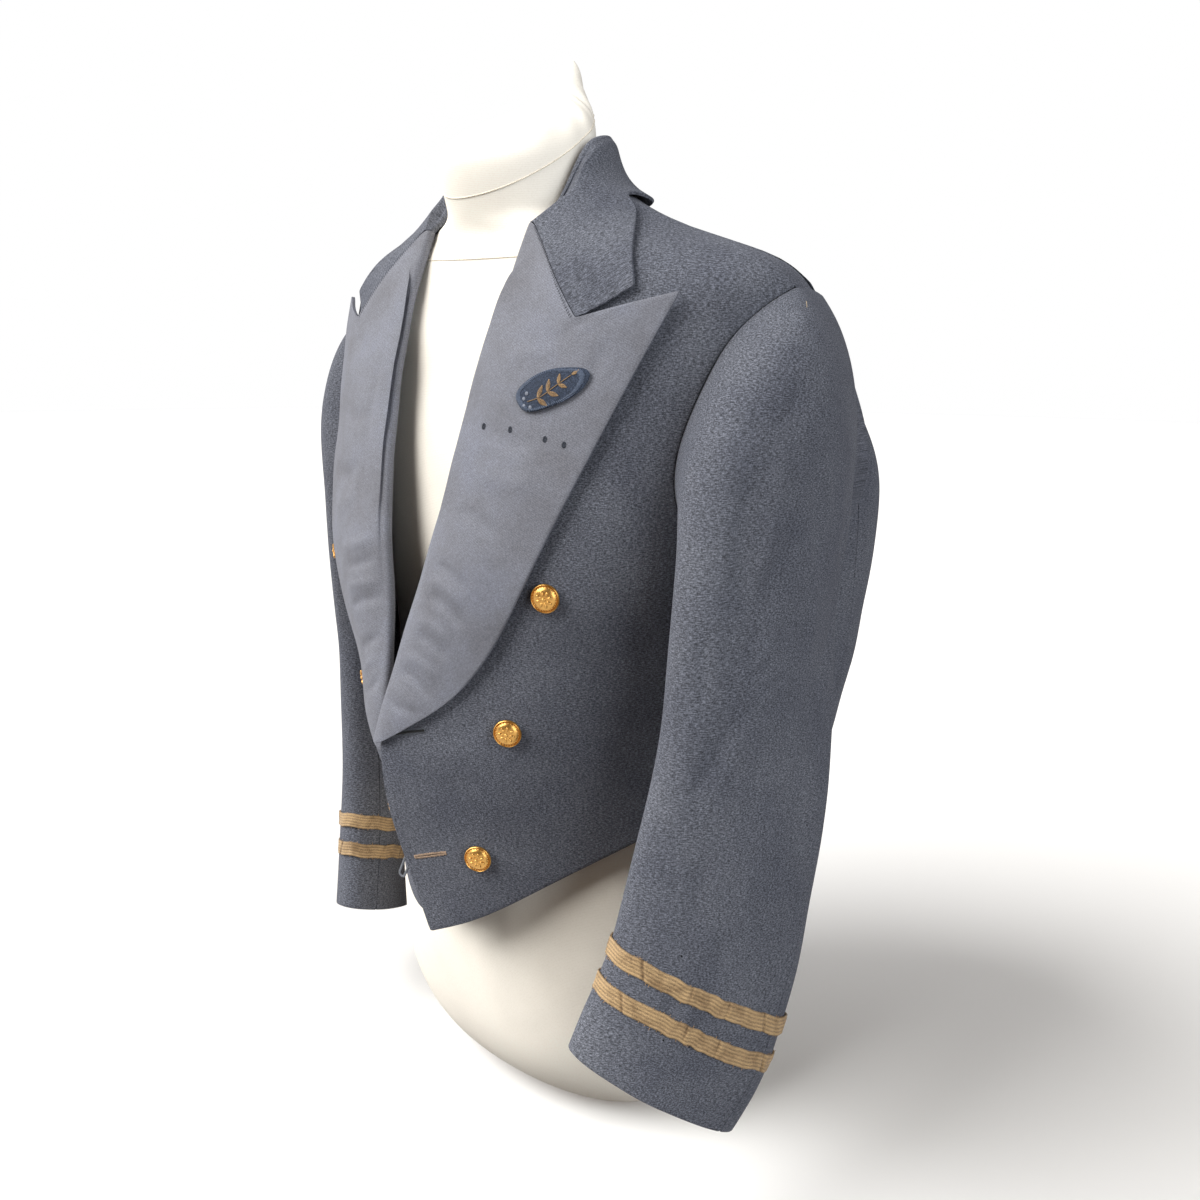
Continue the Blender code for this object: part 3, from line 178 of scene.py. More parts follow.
COLLAR_FOLDS = (
    ("front", -0.5, 5.0, ((0.120, 0.690), (0.128, 0.676), (0.140, 0.664))),
    ("front", 0.5, 6.0, ((0.104, 0.690), (0.112, 0.672), (0.122, 0.656))),
    ("back", -0.6, 6.0, ((0.030, 0.745), (0.034, 0.730), (0.040, 0.716))),
    ("back", -0.5, 6.0, ((0.062, 0.735), (0.070, 0.724), (0.078, 0.712))),
)

# Lapels and sleeves crease more sharply than their rows say, by these factors.
LAPEL_FOLD_DEPTH = 1.9
SLEEVE_FOLD_DEPTH = 1.25

# Each sleeve's middle line: heights, then x out from the body's middle, then y
SLEEVE_MIDDLES = {
    "left": (
        (0.05, 0.124, 0.159, 0.215, 0.290, 0.360, 0.430, 0.65),
        (0.228, 0.230, 0.238, 0.245, 0.246, 0.244, 0.240, 0.225),
        (-0.13, -0.118, -0.101, -0.082, -0.060, -0.046, -0.036, 0.01),
    ),
    "right": (
        (0.05, 0.124, 0.159, 0.215, 0.290, 0.360, 0.430, 0.65),
        (0.216, 0.225, 0.230, 0.237, 0.240, 0.241, 0.241, 0.225),
        (-0.046, -0.028, -0.020, -0.005, 0.009, 0.014, 0.012, 0.02),
    ),
}

# Half widths of the tubes that the cloth goes round, which turn an angle into a length of cloth
SLEEVE_RADIUS = 0.056
CUFF_RADIUS = 0.055
COLLAR_RADIUS = 0.09
BODY_RADIUS = 0.19

# The lace is drawn this share narrower than its solid, 12.3 mm against 14.3 mm.
LACE_NARROWING = 0.14
# How far each button is turned on its shank, in degrees, from the top one down
BUTTON_TURNS = (17, -9, 28)
# A button's outline from its back to its middle, as shares of its radius and heights in metres
BUTTON_OUTLINE = (
    (0.36, 0.0020),
    (0.80, 0.0021),
    (0.97, 0.0026),
    (1.00, 0.0034),
    (0.985, 0.0042),
    (0.94, 0.0046),
    (0.885, 0.0041),
    (0.86, 0.0037),
    (0.80, 0.0046),
    (0.66, 0.0056),
    (0.46, 0.0063),
    (0.22, 0.0067),
    (0.06, 0.0068),
)

# Trimmings, as places of the front view unless they say otherwise
EYELETS = ((0.0706, 0.556), (0.0945, 0.555), (0.1220, 0.550), (0.1355, 0.547))
LOWER_BUTTONHOLE = ((0.0195, 0.2346), (0.0320, 0.2388), (0.0444, 0.2426))
UPPER_BUTTONHOLE = ((0.0080, 0.3295), (0.0240, 0.3345), (0.0400, 0.3385))
EDGE_STITCHES = ((0.0010, 0.310), (0.0016, 0.300), (0.0030, 0.288))
# These two are places of the side view
PIN_HOLES = ((-0.121, 0.231), (-0.131, 0.174))
LOOSE_THREAD = (-0.003, 0.637)
PATCH_CENTRE, PATCH_TILT = (0.121, 0.583), 20.0
LACE_CREASES = {
    ("left", 1): (-62, -38, -5, 22, 34, 75, 128, 170, 214, 251),
    ("left", 2): (-70, -44, -24, 3, 27, 41, 82, 120, 166, 205, 240),
    ("right", 1): (-66, -30, 4, 31, 68, 104, 150, 192, 236),
    ("right", 2): (-52, -20, 11, 44, 80, 133, 171, 222, 250),
}


# What a user would change


class JacketSettings(bpy.types.PropertyGroup):
    wool: bpy.props.StringProperty(
        name="Wool", description="Mid tone of the jacket's wool, as sRGB hex", default="#5A5D66"
    )
    facing: bpy.props.StringProperty(
        name="Facing", description="Mid tone of the lapels' facing, as sRGB hex", default="#71737C"
    )
    lace: bpy.props.StringProperty(
        name="Lace", description="Bright tone of the cuff lace, as sRGB hex", default="#B2966F"
    )
    brass: bpy.props.StringProperty(
        name="Brass", description="Gilt brass of the buttons, as sRGB hex", default="#CFA477"
    )
    jersey: bpy.props.StringProperty(
        name="Jersey", description="Cover of the dress form, as sRGB hex", default="#FFFAEF"
    )
    crease_depth: bpy.props.FloatProperty(
        name="Crease depth", description="How deep the hand-laid folds are", default=1.0, min=0, max=2
    )
    unevenness: bpy.props.FloatProperty(
        name="Unevenness",
        description="How far the cloth waves by itself",
        default=0.0007,
        min=0,
        max=0.003,
        unit="LENGTH",
    )
    divisions: bpy.props.IntProperty(
        name="Divisions", description="Subdivision levels of the cloth", default=3, min=1, max=4
    )


class ButtonSettings(bpy.types.PropertyGroup):
    radius: bpy.props.FloatProperty(
        name="Radius", description="Half a button's width", default=0.0103, unit="LENGTH"
    )
    petals: bpy.props.IntProperty(
        name="Petals", description="Petals of the rosette", default=8, min=5, max=12
    )


class StudioSettings(bpy.types.PropertyGroup):
    azimuth: bpy.props.FloatProperty(
        name="Azimuth",
        description="Camera's turn to the wearer's left",
        default=math.radians(47.0),
        subtype="ANGLE",
    )
    elevation: bpy.props.FloatProperty(
        name="Elevation",
        description="Camera's height above level",
        default=math.radians(11.6),
        subtype="ANGLE",
    )
    roll: bpy.props.FloatProperty(
        name="Roll", description="Camera's tilt", default=math.radians(0.5), subtype="ANGLE"
    )
    distance: bpy.props.FloatProperty(
        name="Distance", description="Camera to its target", default=1.05, unit="LENGTH"
    )
    lens: bpy.props.FloatProperty(name="Lens", description="Focal length in millimetres", default=40.3)
    target: bpy.props.FloatVectorProperty(
        name="Target",
        description="Point that the camera looks at",
        default=(0.05, 0.0, 0.414),
        subtype="TRANSLATION",
    )


# Selecting and shaping


def only_none():
    """Leaves edit mode and selects nothing."""
    if bpy.context.object and bpy.context.object.mode != "OBJECT":
        bpy.ops.object.mode_set(mode="OBJECT")
    bpy.ops.object.select_all(action="DESELECT")


def only(piece):
    """Makes this the one selected and active object."""
    only_none()
    piece.select_set(True)
    bpy.context.view_layer.objects.active = piece


def points_of(piece):
    """A mesh's points as rows of x, y and z."""
    flat = np.empty(len(piece.data.vertices) * 3, np.float32)
    piece.data.vertices.foreach_get("co", flat)
    return flat.reshape(-1, 3).astype(float)


def set_points(piece, points):
    piece.data.vertices.foreach_set("co", points.astype(np.float32).ravel())
    piece.data.update()


def ease(x, low, high):
    """0 below low, 1 above high, and smooth between them."""
    t = np.clip((np.asarray(x, float) - low) / (high - low), 0, 1)
    return t * t * (3 - 2 * t)


def unit(v):
    return v / np.maximum(np.linalg.norm(v, axis=-1, keepdims=True), 1e-12)


def tree_of(piece):
    """A piece's faces, ready to be searched by rays."""
    return BVHTree.FromObject(piece, bpy.context.evaluated_depsgraph_get())


def seek(tree, view, across, height, side=1):
    """The place and outward direction on a piece under one point of a front, side or back view."""
    start, way = {
        "front": (Vector((across * side, -1, height)), Vector((0, 1, 0))),
        "back": (Vector((across * side, 1, height)), Vector((0, -1, 0))),
        "side": (Vector((side, across, height)), Vector((-side, 0, 0))),
    }[view]
    place, normal, _, _ = tree.ray_cast(start, way)
    if place is None:
        middle = {"front": -0.13, "back": 0.15, "side": 0.26 * side}[view]
        guess = (middle, across, height) if view == "side" else (across * side, middle, height)
        place, normal, _, _ = tree.find_nearest(Vector(guess))
    if normal.dot(way) > 0:
        normal = -normal
    return np.array(place), np.array(normal)


def beside_line(points, line):
    """Each point's distance to a line of points, and how far along the line it lies, from 0 to 1."""
    line = np.asarray(line, float)
    length = np.r_[0, np.cumsum(np.linalg.norm(np.diff(line, axis=0), axis=1))]
    nearest = np.full(len(points), 9.0)
    along = np.zeros(len(points))
    for i, (a, b) in enumerate(zip(line, line[1:])):
        run = b - a
        t = np.clip((points - a) @ run / (run @ run), 0, 1)
        off = np.linalg.norm(points - a - t[:, None] * run, axis=1)
        closer = off < nearest
        nearest[closer] = off[closer]
        along[closer] = ((length[i] + t * np.sqrt(run @ run)) / length[-1])[closer]
    return nearest, along


def curve_through(line, count):
    """A smooth curve through a few points, as count points."""
    line = np.asarray(line, float)
    knots = np.linspace(0, 1, len(line))
    padded = np.concatenate([2 * line[:1] - line[1:2], line, 2 * line[-1:] - line[-2:-1]])
    out = []
    for u in np.linspace(0, 1, count):
        i = min(int(u * (len(line) - 1)), len(line) - 2)
        t = (u - knots[i]) * (len(line) - 1)
        p0, p1, p2, p3 = padded[i : i + 4]
        bend = (2 * p0 - 5 * p1 + 4 * p2 - p3) * t**2
        twist = (3 * p1 - p0 - 3 * p2 + p3) * t**3
        out.append(0.5 * (2 * p1 + (p2 - p0) * t + bend + twist))
    return np.array(out)


def lay_folds(piece, folds, side, depth):
    """Presses soft troughs and ridges into a cloth, both faces of it alike."""
    points = points_of(piece)
    tree = tree_of(piece)
    moved = points.copy()
    for view, height, width, line in folds:
        found = [seek(tree, view, a, b, side) for a, b in line]
        path = curve_through([place for place, _ in found], 4 * len(line))
        out = unit(np.mean([normal for _, normal in found], axis=0))
        off, along = beside_line(points, path)
        fade = ease(along, 0.0, 0.3) * (1 - ease(along, 0.7, 1.0))
        press = np.exp(-((off / (width * 0.001)) ** 2)) * fade
        moved += out * (height * 0.001 * depth * press)[:, None]
    set_points(piece, moved)


def wave(points, size, seed):
    """A smooth field between about -1 and 1 whose waves are about this long."""
    random = np.random.default_rng(seed)
    total = np.zeros(len(points))
    for _ in range(7):
        way = unit(random.normal(size=3)) * 2 * math.pi / (size * random.uniform(0.7, 1.4))
        total += np.sin(points @ way + random.uniform(0, 2 * math.pi))
    return total / 2.6


def sleeve_middle(points, side):
    """The middle of the sleeve's tube at each point's height."""
    heights, *middles = SLEEVE_MIDDLES["left" if side > 0 else "right"]
    x, y = (np.interp(points[:, 2], heights, row) for row in middles)
    return np.stack([x * side, y], -1)


def outwards(points, part, side):
    """The way out from inside the body or a sleeve, beside each point."""
    out = points * (1, 1, 0)
    if part == "sleeve":
        out[:, :2] -= sleeve_middle(points, side)
    else:
        out[:, 1] = (out[:, 1] - 0.015) * 1.4
    return unit(out)


def weave_map(piece, part, side):
    """A UV map in metres of cloth: along the weft and along the warp."""
    points = points_of(piece)
    if part == "sleeve":
        from_middle = points[:, :2] - sleeve_middle(points, side)
        turn = np.arctan2(from_middle[:, 0] * side, -from_middle[:, 1])
        if "under" in piece.name:
            turn = np.where(turn < 0.6, turn + 2 * math.pi, turn)
        across, up = turn * SLEEVE_RADIUS, points[:, 2]
    elif part == "lapel":
        slope = math.radians(62)
        across = points[:, 0] * side * math.cos(slope) + points[:, 2] * math.sin(slope)
        up = -points[:, 0] * side * math.sin(slope) + points[:, 2] * math.cos(slope)
    elif part == "collar":
        neck_y = -0.03
        from_neck = np.hypot(points[:, 0], points[:, 1] - neck_y)
        across = np.arctan2(points[:, 0], -(points[:, 1] - neck_y)) * COLLAR_RADIUS
        up = 0.75 * (points[:, 2] - from_neck)
    else:
        across = np.arctan2(points[:, 0] * side, -(points[:, 1] - 0.02)) * BODY_RADIUS
        up = points[:, 2]
    layer = piece.data.uv_layers.new(name="weave")
    corner = np.empty(len(piece.data.loops), np.int32)
    piece.data.loops.foreach_get("vertex_index", corner)
    layer.data.foreach_set("uv", np.stack([across, up], -1)[corner].astype(np.float32).ravel())


def panel_copy(node, ending):
    """A copy of one packed panel, its loose triangles merged into as many quads as they make."""
    piece = bpy.data.objects.new(f"{node}_{ending}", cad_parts[node].data.copy())
    bpy.context.scene.collection.objects.link(piece)
    for layer in list(piece.data.uv_layers):
        piece.data.uv_layers.remove(layer)
    piece.data.materials.clear()
    only(piece)
    bpy.ops.object.mode_set(mode="EDIT")
    bpy.ops.mesh.select_all(action="SELECT")
    bpy.ops.mesh.remove_doubles(threshold=0.00002)
    bpy.ops.mesh.tris_convert_to_quads(face_threshold=math.radians(50), shape_threshold=math.radians(60))
    bpy.ops.object.mode_set(mode="OBJECT")
    bpy.ops.mesh.customdata_custom_splitnormals_clear()
    return piece


def divide(piece, level, crease, smooth_below):
    """Divides a piece finely. Its rims, which turn by more than 60 degrees, stay crisp."""
    solid = bmesh.new()
    solid.from_mesh(piece.data)
    sharp = solid.edges.layers.float.get("crease_edge") or solid.edges.layers.float.new("crease_edge")
    for edge in solid.edges:
        edge[sharp] = crease if edge.calc_face_angle(0) > math.radians(60) else 0.0
    solid.to_mesh(piece.data)
    solid.free()
    smooth = piece.modifiers.new("divide", "SUBSURF")
    smooth.levels = smooth.render_levels = level
    bpy.ops.object.modifier_apply(modifier=smooth.name)
    bpy.ops.object.shade_smooth_by_angle(angle=math.radians(smooth_below))


def dressed(node, level, crease=0.85):
    """A finely divided copy of one packed panel, which then stands for it."""
    piece = panel_copy(node, "cloth")
    divide(piece, level, crease, 55)
    return piece


def wear(piece, finish, slot, *nodes):
    """Gives a finished piece its material and its place in the part."""
    piece.data.materials.clear()
    piece.data.materials.append(finish)
    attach(piece, "root")
    if nodes:
        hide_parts(*nodes)
    return piece


def tubes(name, paths, radius, resolution=1):
    """Round threads or cords along paths, as one mesh."""
    line = bpy.data.curves.new(name, "CURVE")
    line.dimensions = "3D"
    line.bevel_depth = radius
    line.bevel_resolution = resolution
    line.use_fill_caps = True
    for path in paths:
        spline = line.splines.new("POLY")
        spline.points.add(len(path) - 1)
        spline.points.foreach_set("co", np.c_[np.asarray(path, float), np.ones(len(path))].ravel())
    piece = bpy.data.objects.new(name, line)
    bpy.context.scene.collection.objects.link(piece)
    only(piece)
    bpy.ops.object.convert(target="MESH")
    piece = bpy.context.object
    bpy.ops.object.shade_smooth()
    return piece


# Materials


def linear(code):
    """An sRGB hex colour as linear RGBA."""
    parts = [int(code[i : i + 2], 16) / 255 for i in (1, 3, 5)]
    return tuple(p / 12.92 if p <= 0.04045 else ((p + 0.055) / 1.055) ** 2.4 for p in parts) + (1.0,)


def tone(code, factor):
    """A hex colour made lighter or darker by a factor of its linear light."""
    return tuple(min(p * factor, 1.0) for p in linear(code)[:3]) + (1.0,)


def add(tree, kind, inputs=None, **settings):
    """Adds one node, with its properties as settings and its sockets' values or links as inputs."""
    made = tree.nodes.new(kind)
    for name, value in settings.items():
        setattr(made, name, value)
    for name, value in (inputs or {}).items():
        socket = made.inputs[name]
        if isinstance(value, bpy.types.NodeSocket):
            tree.links.new(value, socket)
        else:
            socket.default_value = value
    return made


def start_material(name, **values):
    """A new material, its node tree and its shader, with values set on the shader's own sockets."""
    made = bpy.data.materials.new(name)
    made.use_nodes = True
    shader = made.node_tree.nodes["Principled BSDF"]
    for socket, value in values.items():
        shader.inputs[socket.replace("_", " ")].default_value = value
    return made, made.node_tree, shader


def ramp(tree, value, *stops):
    """A colour ramp through (place, colour) stops."""
    made = add(tree, "ShaderNodeValToRGB", {0: value})
    elements = made.color_ramp.elements
    while len(elements) < len(stops):
        elements.new(0.5)
    for element, (place, colour) in zip(elements, stops):
        element.position = place
        element.color = colour
    return made.outputs[0]


def mixed(tree, kind, factor, a, b):
    """Two colours mixed."""
    made = add(tree, "ShaderNodeMix", {0: factor, 6: a, 7: b}, data_type="RGBA", blend_type=kind)
    return made.outputs[2]


def barathea_wool(name, code):
    """Barathea, a worsted wool with a fine broken rib, dyed blue-grey in the fibre before it is spun.
    Dark and pale fibres lie side by side, so it looks speckled close by and matt, with a faint pale bloom
    at its edges."""
    made, tree, shader = start_material(
        name, Roughness=0.92, Specular_IOR_Level=0.22, Sheen_Weight=0.16, Sheen_Roughness=0.45
    )
    shader.inputs["Sheen Tint"].default_value = tone(code, 3.0)
    body = add(tree, "ShaderNodeTexCoord").outputs["Object"]
    cloth = add(tree, "ShaderNodeUVMap", uv_map="weave").outputs[0]
    # Fibre flecks are about 1 mm long, drawn a little coarser than the 0.4 mm real ones so that they show.
    fleck = add(
        tree,
        "ShaderNodeTexNoise",
        {"Vector": body, "Scale": 950.0, "Detail": 2.5, "Roughness": 0.75},
    ).outputs[0]
    stretched = add(tree, "ShaderNodeMapping", {"Vector": cloth, "Scale": (420.0, 1500.0, 1.0)}).outputs[0]
    yarn = add(
        tree,
        "ShaderNodeTexNoise",
        {"Vector": stretched, "Scale": 1.0, "Detail": 1.5, "Roughness": 0.6},
    ).outputs[0]
    slub = add(tree, "ShaderNodeMath", {0: fleck, 1: yarn}, operation="ADD").outputs[0]
    half = add(tree, "ShaderNodeMath", {0: slub, 1: 0.5}, operation="MULTIPLY").outputs[0]
    heather = ramp(tree, half, (0.38, tone(code, 0.40)), (0.50, tone(code, 1.0)), (0.62, tone(code, 2.1)))
    patchy = add(
        tree,
        "ShaderNodeTexNoise",
        {"Vector": body, "Scale": 17.0, "Detail": 3.0, "Roughness": 0.6},
    ).outputs[0]
    shade = ramp(tree, patchy, (0.30, (0.80, 0.80, 0.82, 1)), (0.72, (1.14, 1.13, 1.10, 1)))
    colour = mixed(tree, "MULTIPLY", 1.0, heather, shade)
    tree.links.new(colour, shader.inputs["Base Color"])
    # Twill ribs lean across the cloth, 1.3 mm apart here against 0.7 mm in the real one.
    lean = (0, 0, math.radians(28))
    leaning = add(tree, "ShaderNodeMapping", {"Vector": cloth, "Rotation": lean}).outputs[0]
    rib = add(
        tree,
        "ShaderNodeTexWave",
        {"Vector": leaning, "Scale": 242.0, "Distortion": 1.6, "Detail": 1.0, "Detail Scale": 2.0},
        bands_direction="X",
    ).outputs[1]
    height = add(tree, "ShaderNodeMath", {0: rib, 1: 0.45, 2: half}, operation="MULTIPLY_ADD").outputs[0]
    bump = add(tree, "ShaderNodeBump", {"Strength": 0.42, "Distance": 0.0004, "Height": height}).outputs[0]
    tree.links.new(bump, shader.inputs["Normal"])
    return made


def ribbed_facing(name, code):
    """A silk-and-wool facing woven with a close twill rib. It is lighter than the wool and browner where it
    has worn, and its floats catch the light in a soft sheen that breaks up into faint lines."""
    made, tree, shader = start_material(
        name, Roughness=0.7, Specular_IOR_Level=0.34, Sheen_Weight=0.12, Sheen_Roughness=0.35
    )
    shader.inputs["Sheen Tint"].default_value = tone(code, 2.4)
    body = add(tree, "ShaderNodeTexCoord").outputs["Object"]
    cloth = add(tree, "ShaderNodeUVMap", uv_map="weave").outputs[0]
    fleck = add(
        tree,
        "ShaderNodeTexNoise",
        {"Vector": body, "Scale": 1100.0, "Detail": 2.0, "Roughness": 0.7},
    ).outputs[0]
    # Ribs 1.3 mm apart and cross threads 2.3 mm apart, both near 0.6 mm in the real one, so that they show.
    rib = add(
        tree,
        "ShaderNodeTexWave",
        {"Vector": cloth, "Scale": 242.0, "Distortion": 2.2, "Detail": 2.0},
        bands_direction="X",
    ).outputs[1]
    lean = (0, 0, math.radians(-52))
    leaning = add(tree, "ShaderNodeMapping", {"Vector": cloth, "Rotation": lean}).outputs[0]
    pick = add(
        tree,
        "ShaderNodeTexWave",
        {"Vector": leaning, "Scale": 137.0, "Distortion": 1.2, "Detail": 1.0},
        bands_direction="X",
    ).outputs[1]
    both = add(tree, "ShaderNodeMath", {0: pick, 1: 0.3, 2: rib}, operation="MULTIPLY_ADD").outputs[0]
    mix = add(tree, "ShaderNodeMath", {0: both, 1: 0.10, 2: fleck}, operation="MULTIPLY_ADD").outputs[0]
    weave = ramp(tree, mix, (0.36, tone(code, 0.70)), (0.56, tone(code, 1.0)), (0.76, tone(code, 1.38)))
    patchy = add(
        tree,
        "ShaderNodeTexNoise",
        {"Vector": body, "Scale": 21.0, "Detail": 4.0, "Roughness": 0.6},
    ).outputs[0]
    worn, plain, fresh = (0.80, 0.78, 0.76, 1), (1.0, 1.0, 1.0, 1), (1.10, 1.12, 1.17, 1)
    shade = ramp(tree, patchy, (0.30, worn), (0.52, plain), (0.74, fresh))
    colour = mixed(tree, "MULTIPLY", 1.0, weave, shade)
    tree.links.new(colour, shader.inputs["Base Color"])
    bump = add(tree, "ShaderNodeBump", {"Strength": 0.45, "Distance": 0.0004, "Height": mix}).outputs[0]
    tree.links.new(bump, shader.inputs["Normal"])
    return made


def tarnished_lace(name, code):
    """Gold lace, flat metal thread woven with silk into ribs that run along it. It has tarnished to tan and
    brown, darkest between the ribs and in blotches, and its ribs gleam dully. Painted shade darkens its
    crease troughs."""
    made, tree, shader = start_material(name, Roughness=0.62, Specular_IOR_Level=0.4, Sheen_Weight=0.1)
    body = add(tree, "ShaderNodeTexCoord").outputs["Object"]
    cloth = add(tree, "ShaderNodeUVMap", uv_map="weave").outputs[0]
    # The map's second number runs from 0 to 1 across the band, which has five ribs.
    ribs = add(tree, "ShaderNodeMapping", {"Vector": cloth, "Scale": (0.0, 1.0, 0.0)}).outputs[0]
    rib = add(
        tree,
        "ShaderNodeTexWave",
        {"Vector": ribs, "Scale": 1.57, "Distortion": 1.3, "Detail": 2.0, "Detail Scale": 3.0},
        bands_direction="Y",
    ).outputs[1]
    threads = add(tree, "ShaderNodeMapping", {"Vector": cloth, "Scale": (1400.0, 16.0, 1.0)}).outputs[0]
    thread = add(tree, "ShaderNodeTexNoise", {"Vector": threads, "Scale": 1.0, "Detail": 2.0}).outputs[0]
    both = add(tree, "ShaderNodeMath", {0: rib, 1: 0.26, 2: thread}, operation="MULTIPLY_ADD").outputs[0]
    steps = ((0.36, 0.42), (0.52, 0.72), (0.68, 1.0), (0.86, 1.35))
    tones = [(place, tone(code, factor)) for place, factor in steps]
    metal = ramp(tree, both, *tones)
    patchy = add(
        tree,
        "ShaderNodeTexNoise",
        {"Vector": body, "Scale": 85.0, "Detail": 4.0, "Roughness": 0.65},
    ).outputs[0]
    brown, dull, bright = (0.52, 0.47, 0.42, 1), (0.95, 0.93, 0.9, 1), (1.15, 1.12, 1.05, 1)
    shade = ramp(tree, patchy, (0.34, brown), (0.52, dull), (0.75, bright))
    blotched = mixed(tree, "MULTIPLY", 0.85, metal, shade)
    # Painted shade: the colour is darkened towards dark brown in the troughs of the creases, by the mask that
    # band() stores on each band.
    crease_shade = add(tree, "ShaderNodeAttribute", attribute_name="crease_shade").outputs["Fac"]
    colour = mixed(tree, "MULTIPLY", crease_shade, blotched, (0.30, 0.25, 0.21, 1))
    tree.links.new(colour, shader.inputs["Base Color"])
    bump = add(tree, "ShaderNodeBump", {"Strength": 0.7, "Distance": 0.0005, "Height": both}).outputs[0]
    tree.links.new(bump, shader.inputs["Normal"])
    return made


def gilt_brass(name, code):
    """Stamped brass with a gilt wash. The wash has gone from the high places. The low ones are darkened to a
    deep brown, partly by real tarnish and partly by painted shade, which makes the relief easy to read."""
    made, tree, shader = start_material(name, Metallic=1.0, Roughness=0.34)
    body = add(tree, "ShaderNodeTexCoord").outputs["Object"]
    fine = add(
        tree,
        "ShaderNodeTexNoise",
        {"Vector": body, "Scale": 620.0, "Detail": 4.0, "Roughness": 0.6},
    ).outputs[0]
    # The hollows, found by ambient occlusion, are darkened: partly real tarnish, partly painted shade.
    low = add(tree, "ShaderNodeAmbientOcclusion", {"Distance": 0.0016}, samples=8).outputs["AO"]
    worn = ramp(tree, fine, (0.30, tone(code, 0.62)), (0.52, linear(code)), (0.75, tone(code, 1.35)))
    tarnish_and_shade = ramp(tree, low, (0.50, (0.12, 0.08, 0.05, 1)), (0.98, (1, 1, 1, 1)))
    colour = mixed(tree, "MULTIPLY", 0.9, worn, tarnish_and_shade)
    tree.links.new(colour, shader.inputs["Base Color"])
    rough = add(tree, "ShaderNodeMapRange", {0: fine, 1: 0.3, 2: 0.7, 3: 0.26, 4: 0.48}).outputs[0]
    tree.links.new(rough, shader.inputs["Roughness"])
    bump = add(tree, "ShaderNodeBump", {"Strength": 0.15, "Distance": 0.0002, "Height": fine}).outputs[0]
    tree.links.new(bump, shader.inputs["Normal"])
    return made


def napped_felt(name, code):
    """Wool felt, pressed and not woven, so its fibres lie every way and it is quite matt."""
    made, tree, shader = start_material(name, Roughness=0.98, Specular_IOR_Level=0.1, Sheen_Weight=0.25)
    body = add(tree, "ShaderNodeTexCoord").outputs["Object"]
    nap = add(
        tree,
        "ShaderNodeTexNoise",
        {"Vector": body, "Scale": 1300.0, "Detail": 3.0, "Roughness": 0.8},
    ).outputs[0]
    colour = ramp(tree, nap, (0.32, tone(code, 0.4)), (0.5, linear(code)), (0.7, tone(code, 2.6)))
    tree.links.new(colour, shader.inputs["Base Color"])
    bump = add(tree, "ShaderNodeBump", {"Strength": 0.6, "Distance": 0.0004, "Height": nap}).outputs[0]
    tree.links.new(bump, shader.inputs["Normal"])
    return made


def spun_thread(name, code, roughness=0.75):
    """Twisted sewing or embroidery thread, whose plies show as fine bands along it."""
    made, tree, shader = start_material(name, Roughness=roughness, Specular_IOR_Level=0.3, Sheen_Weight=0.2)
    body = add(tree, "ShaderNodeTexCoord").outputs["Object"]
    ply = add(tree, "ShaderNodeTexNoise", {"Vector": body, "Scale": 2200.0, "Detail": 2.0}).outputs[0]
    colour = ramp(tree, ply, (0.30, tone(code, 0.5)), (0.52, linear(code)), (0.72, tone(code, 1.5)))
    tree.links.new(colour, shader.inputs["Base Color"])
    bump = add(tree, "ShaderNodeBump", {"Strength": 0.5, "Distance": 0.0002, "Height": ply}).outputs[0]
    tree.links.new(bump, shader.inputs["Normal"])
    return made


def cream_jersey(name, code):
    """Cotton jersey, knitted in fine columns of loops and stretched over padding. It is matt and a little
    yellowed, more so in patches where it has been handled."""
    made, tree, shader = start_material(name, Roughness=0.9, Specular_IOR_Level=0.2, Sheen_Weight=0.1)
    body = add(tree, "ShaderNodeTexCoord").outputs["Object"]
    # Loops 1.2 mm apart, against about 0.6 mm in real jersey, so that they show.
    columns = add(
        tree, "ShaderNodeTexWave", {"Vector": body, "Scale": 262.0, "Distortion": 1.0}, bands_direction="Z"
    ).outputs[1]
    loops = add(tree, "ShaderNodeTexNoise", {"Vector": body, "Scale": 800.0, "Detail": 2.0}).outputs[0]
    knit = add(tree, "ShaderNodeMath", {0: columns, 1: 0.4, 2: loops}, operation="MULTIPLY_ADD").outputs[0]
    patchy = add(tree, "ShaderNodeTexNoise", {"Vector": body, "Scale": 9.0, "Detail": 3.0}).outputs[0]
    colour = ramp(tree, patchy, (0.30, tone(code, 0.90)), (0.55, linear(code)), (0.75, tone(code, 1.03)))
    fine = ramp(tree, knit, (0.25, (0.93, 0.92, 0.90, 1)), (0.80, (1.02, 1.02, 1.02, 1)))
    both = mixed(tree, "MULTIPLY", 1.0, colour, fine)
    tree.links.new(both, shader.inputs["Base Color"])
    bump = add(tree, "ShaderNodeBump", {"Strength": 0.18, "Distance": 0.0003, "Height": knit}).outputs[0]
    tree.links.new(bump, shader.inputs["Normal"])
    return made


def finish_named(name, maker, *values):
    """A material that is made once and then shared."""
    return bpy.data.materials.get(name) or maker(name, *values)


def wool():
    return finish_named("barathea_wool", barathea_wool, bpy.context.scene.jacket.wool)


def thread(name, code):
    return finish_named(name, spun_thread, code)


def slit_shadow():
    return finish_named("slit_shadow", spun_thread, "#0C0D10", 0.95)


# Operators, in the order in which the jacket is dressed


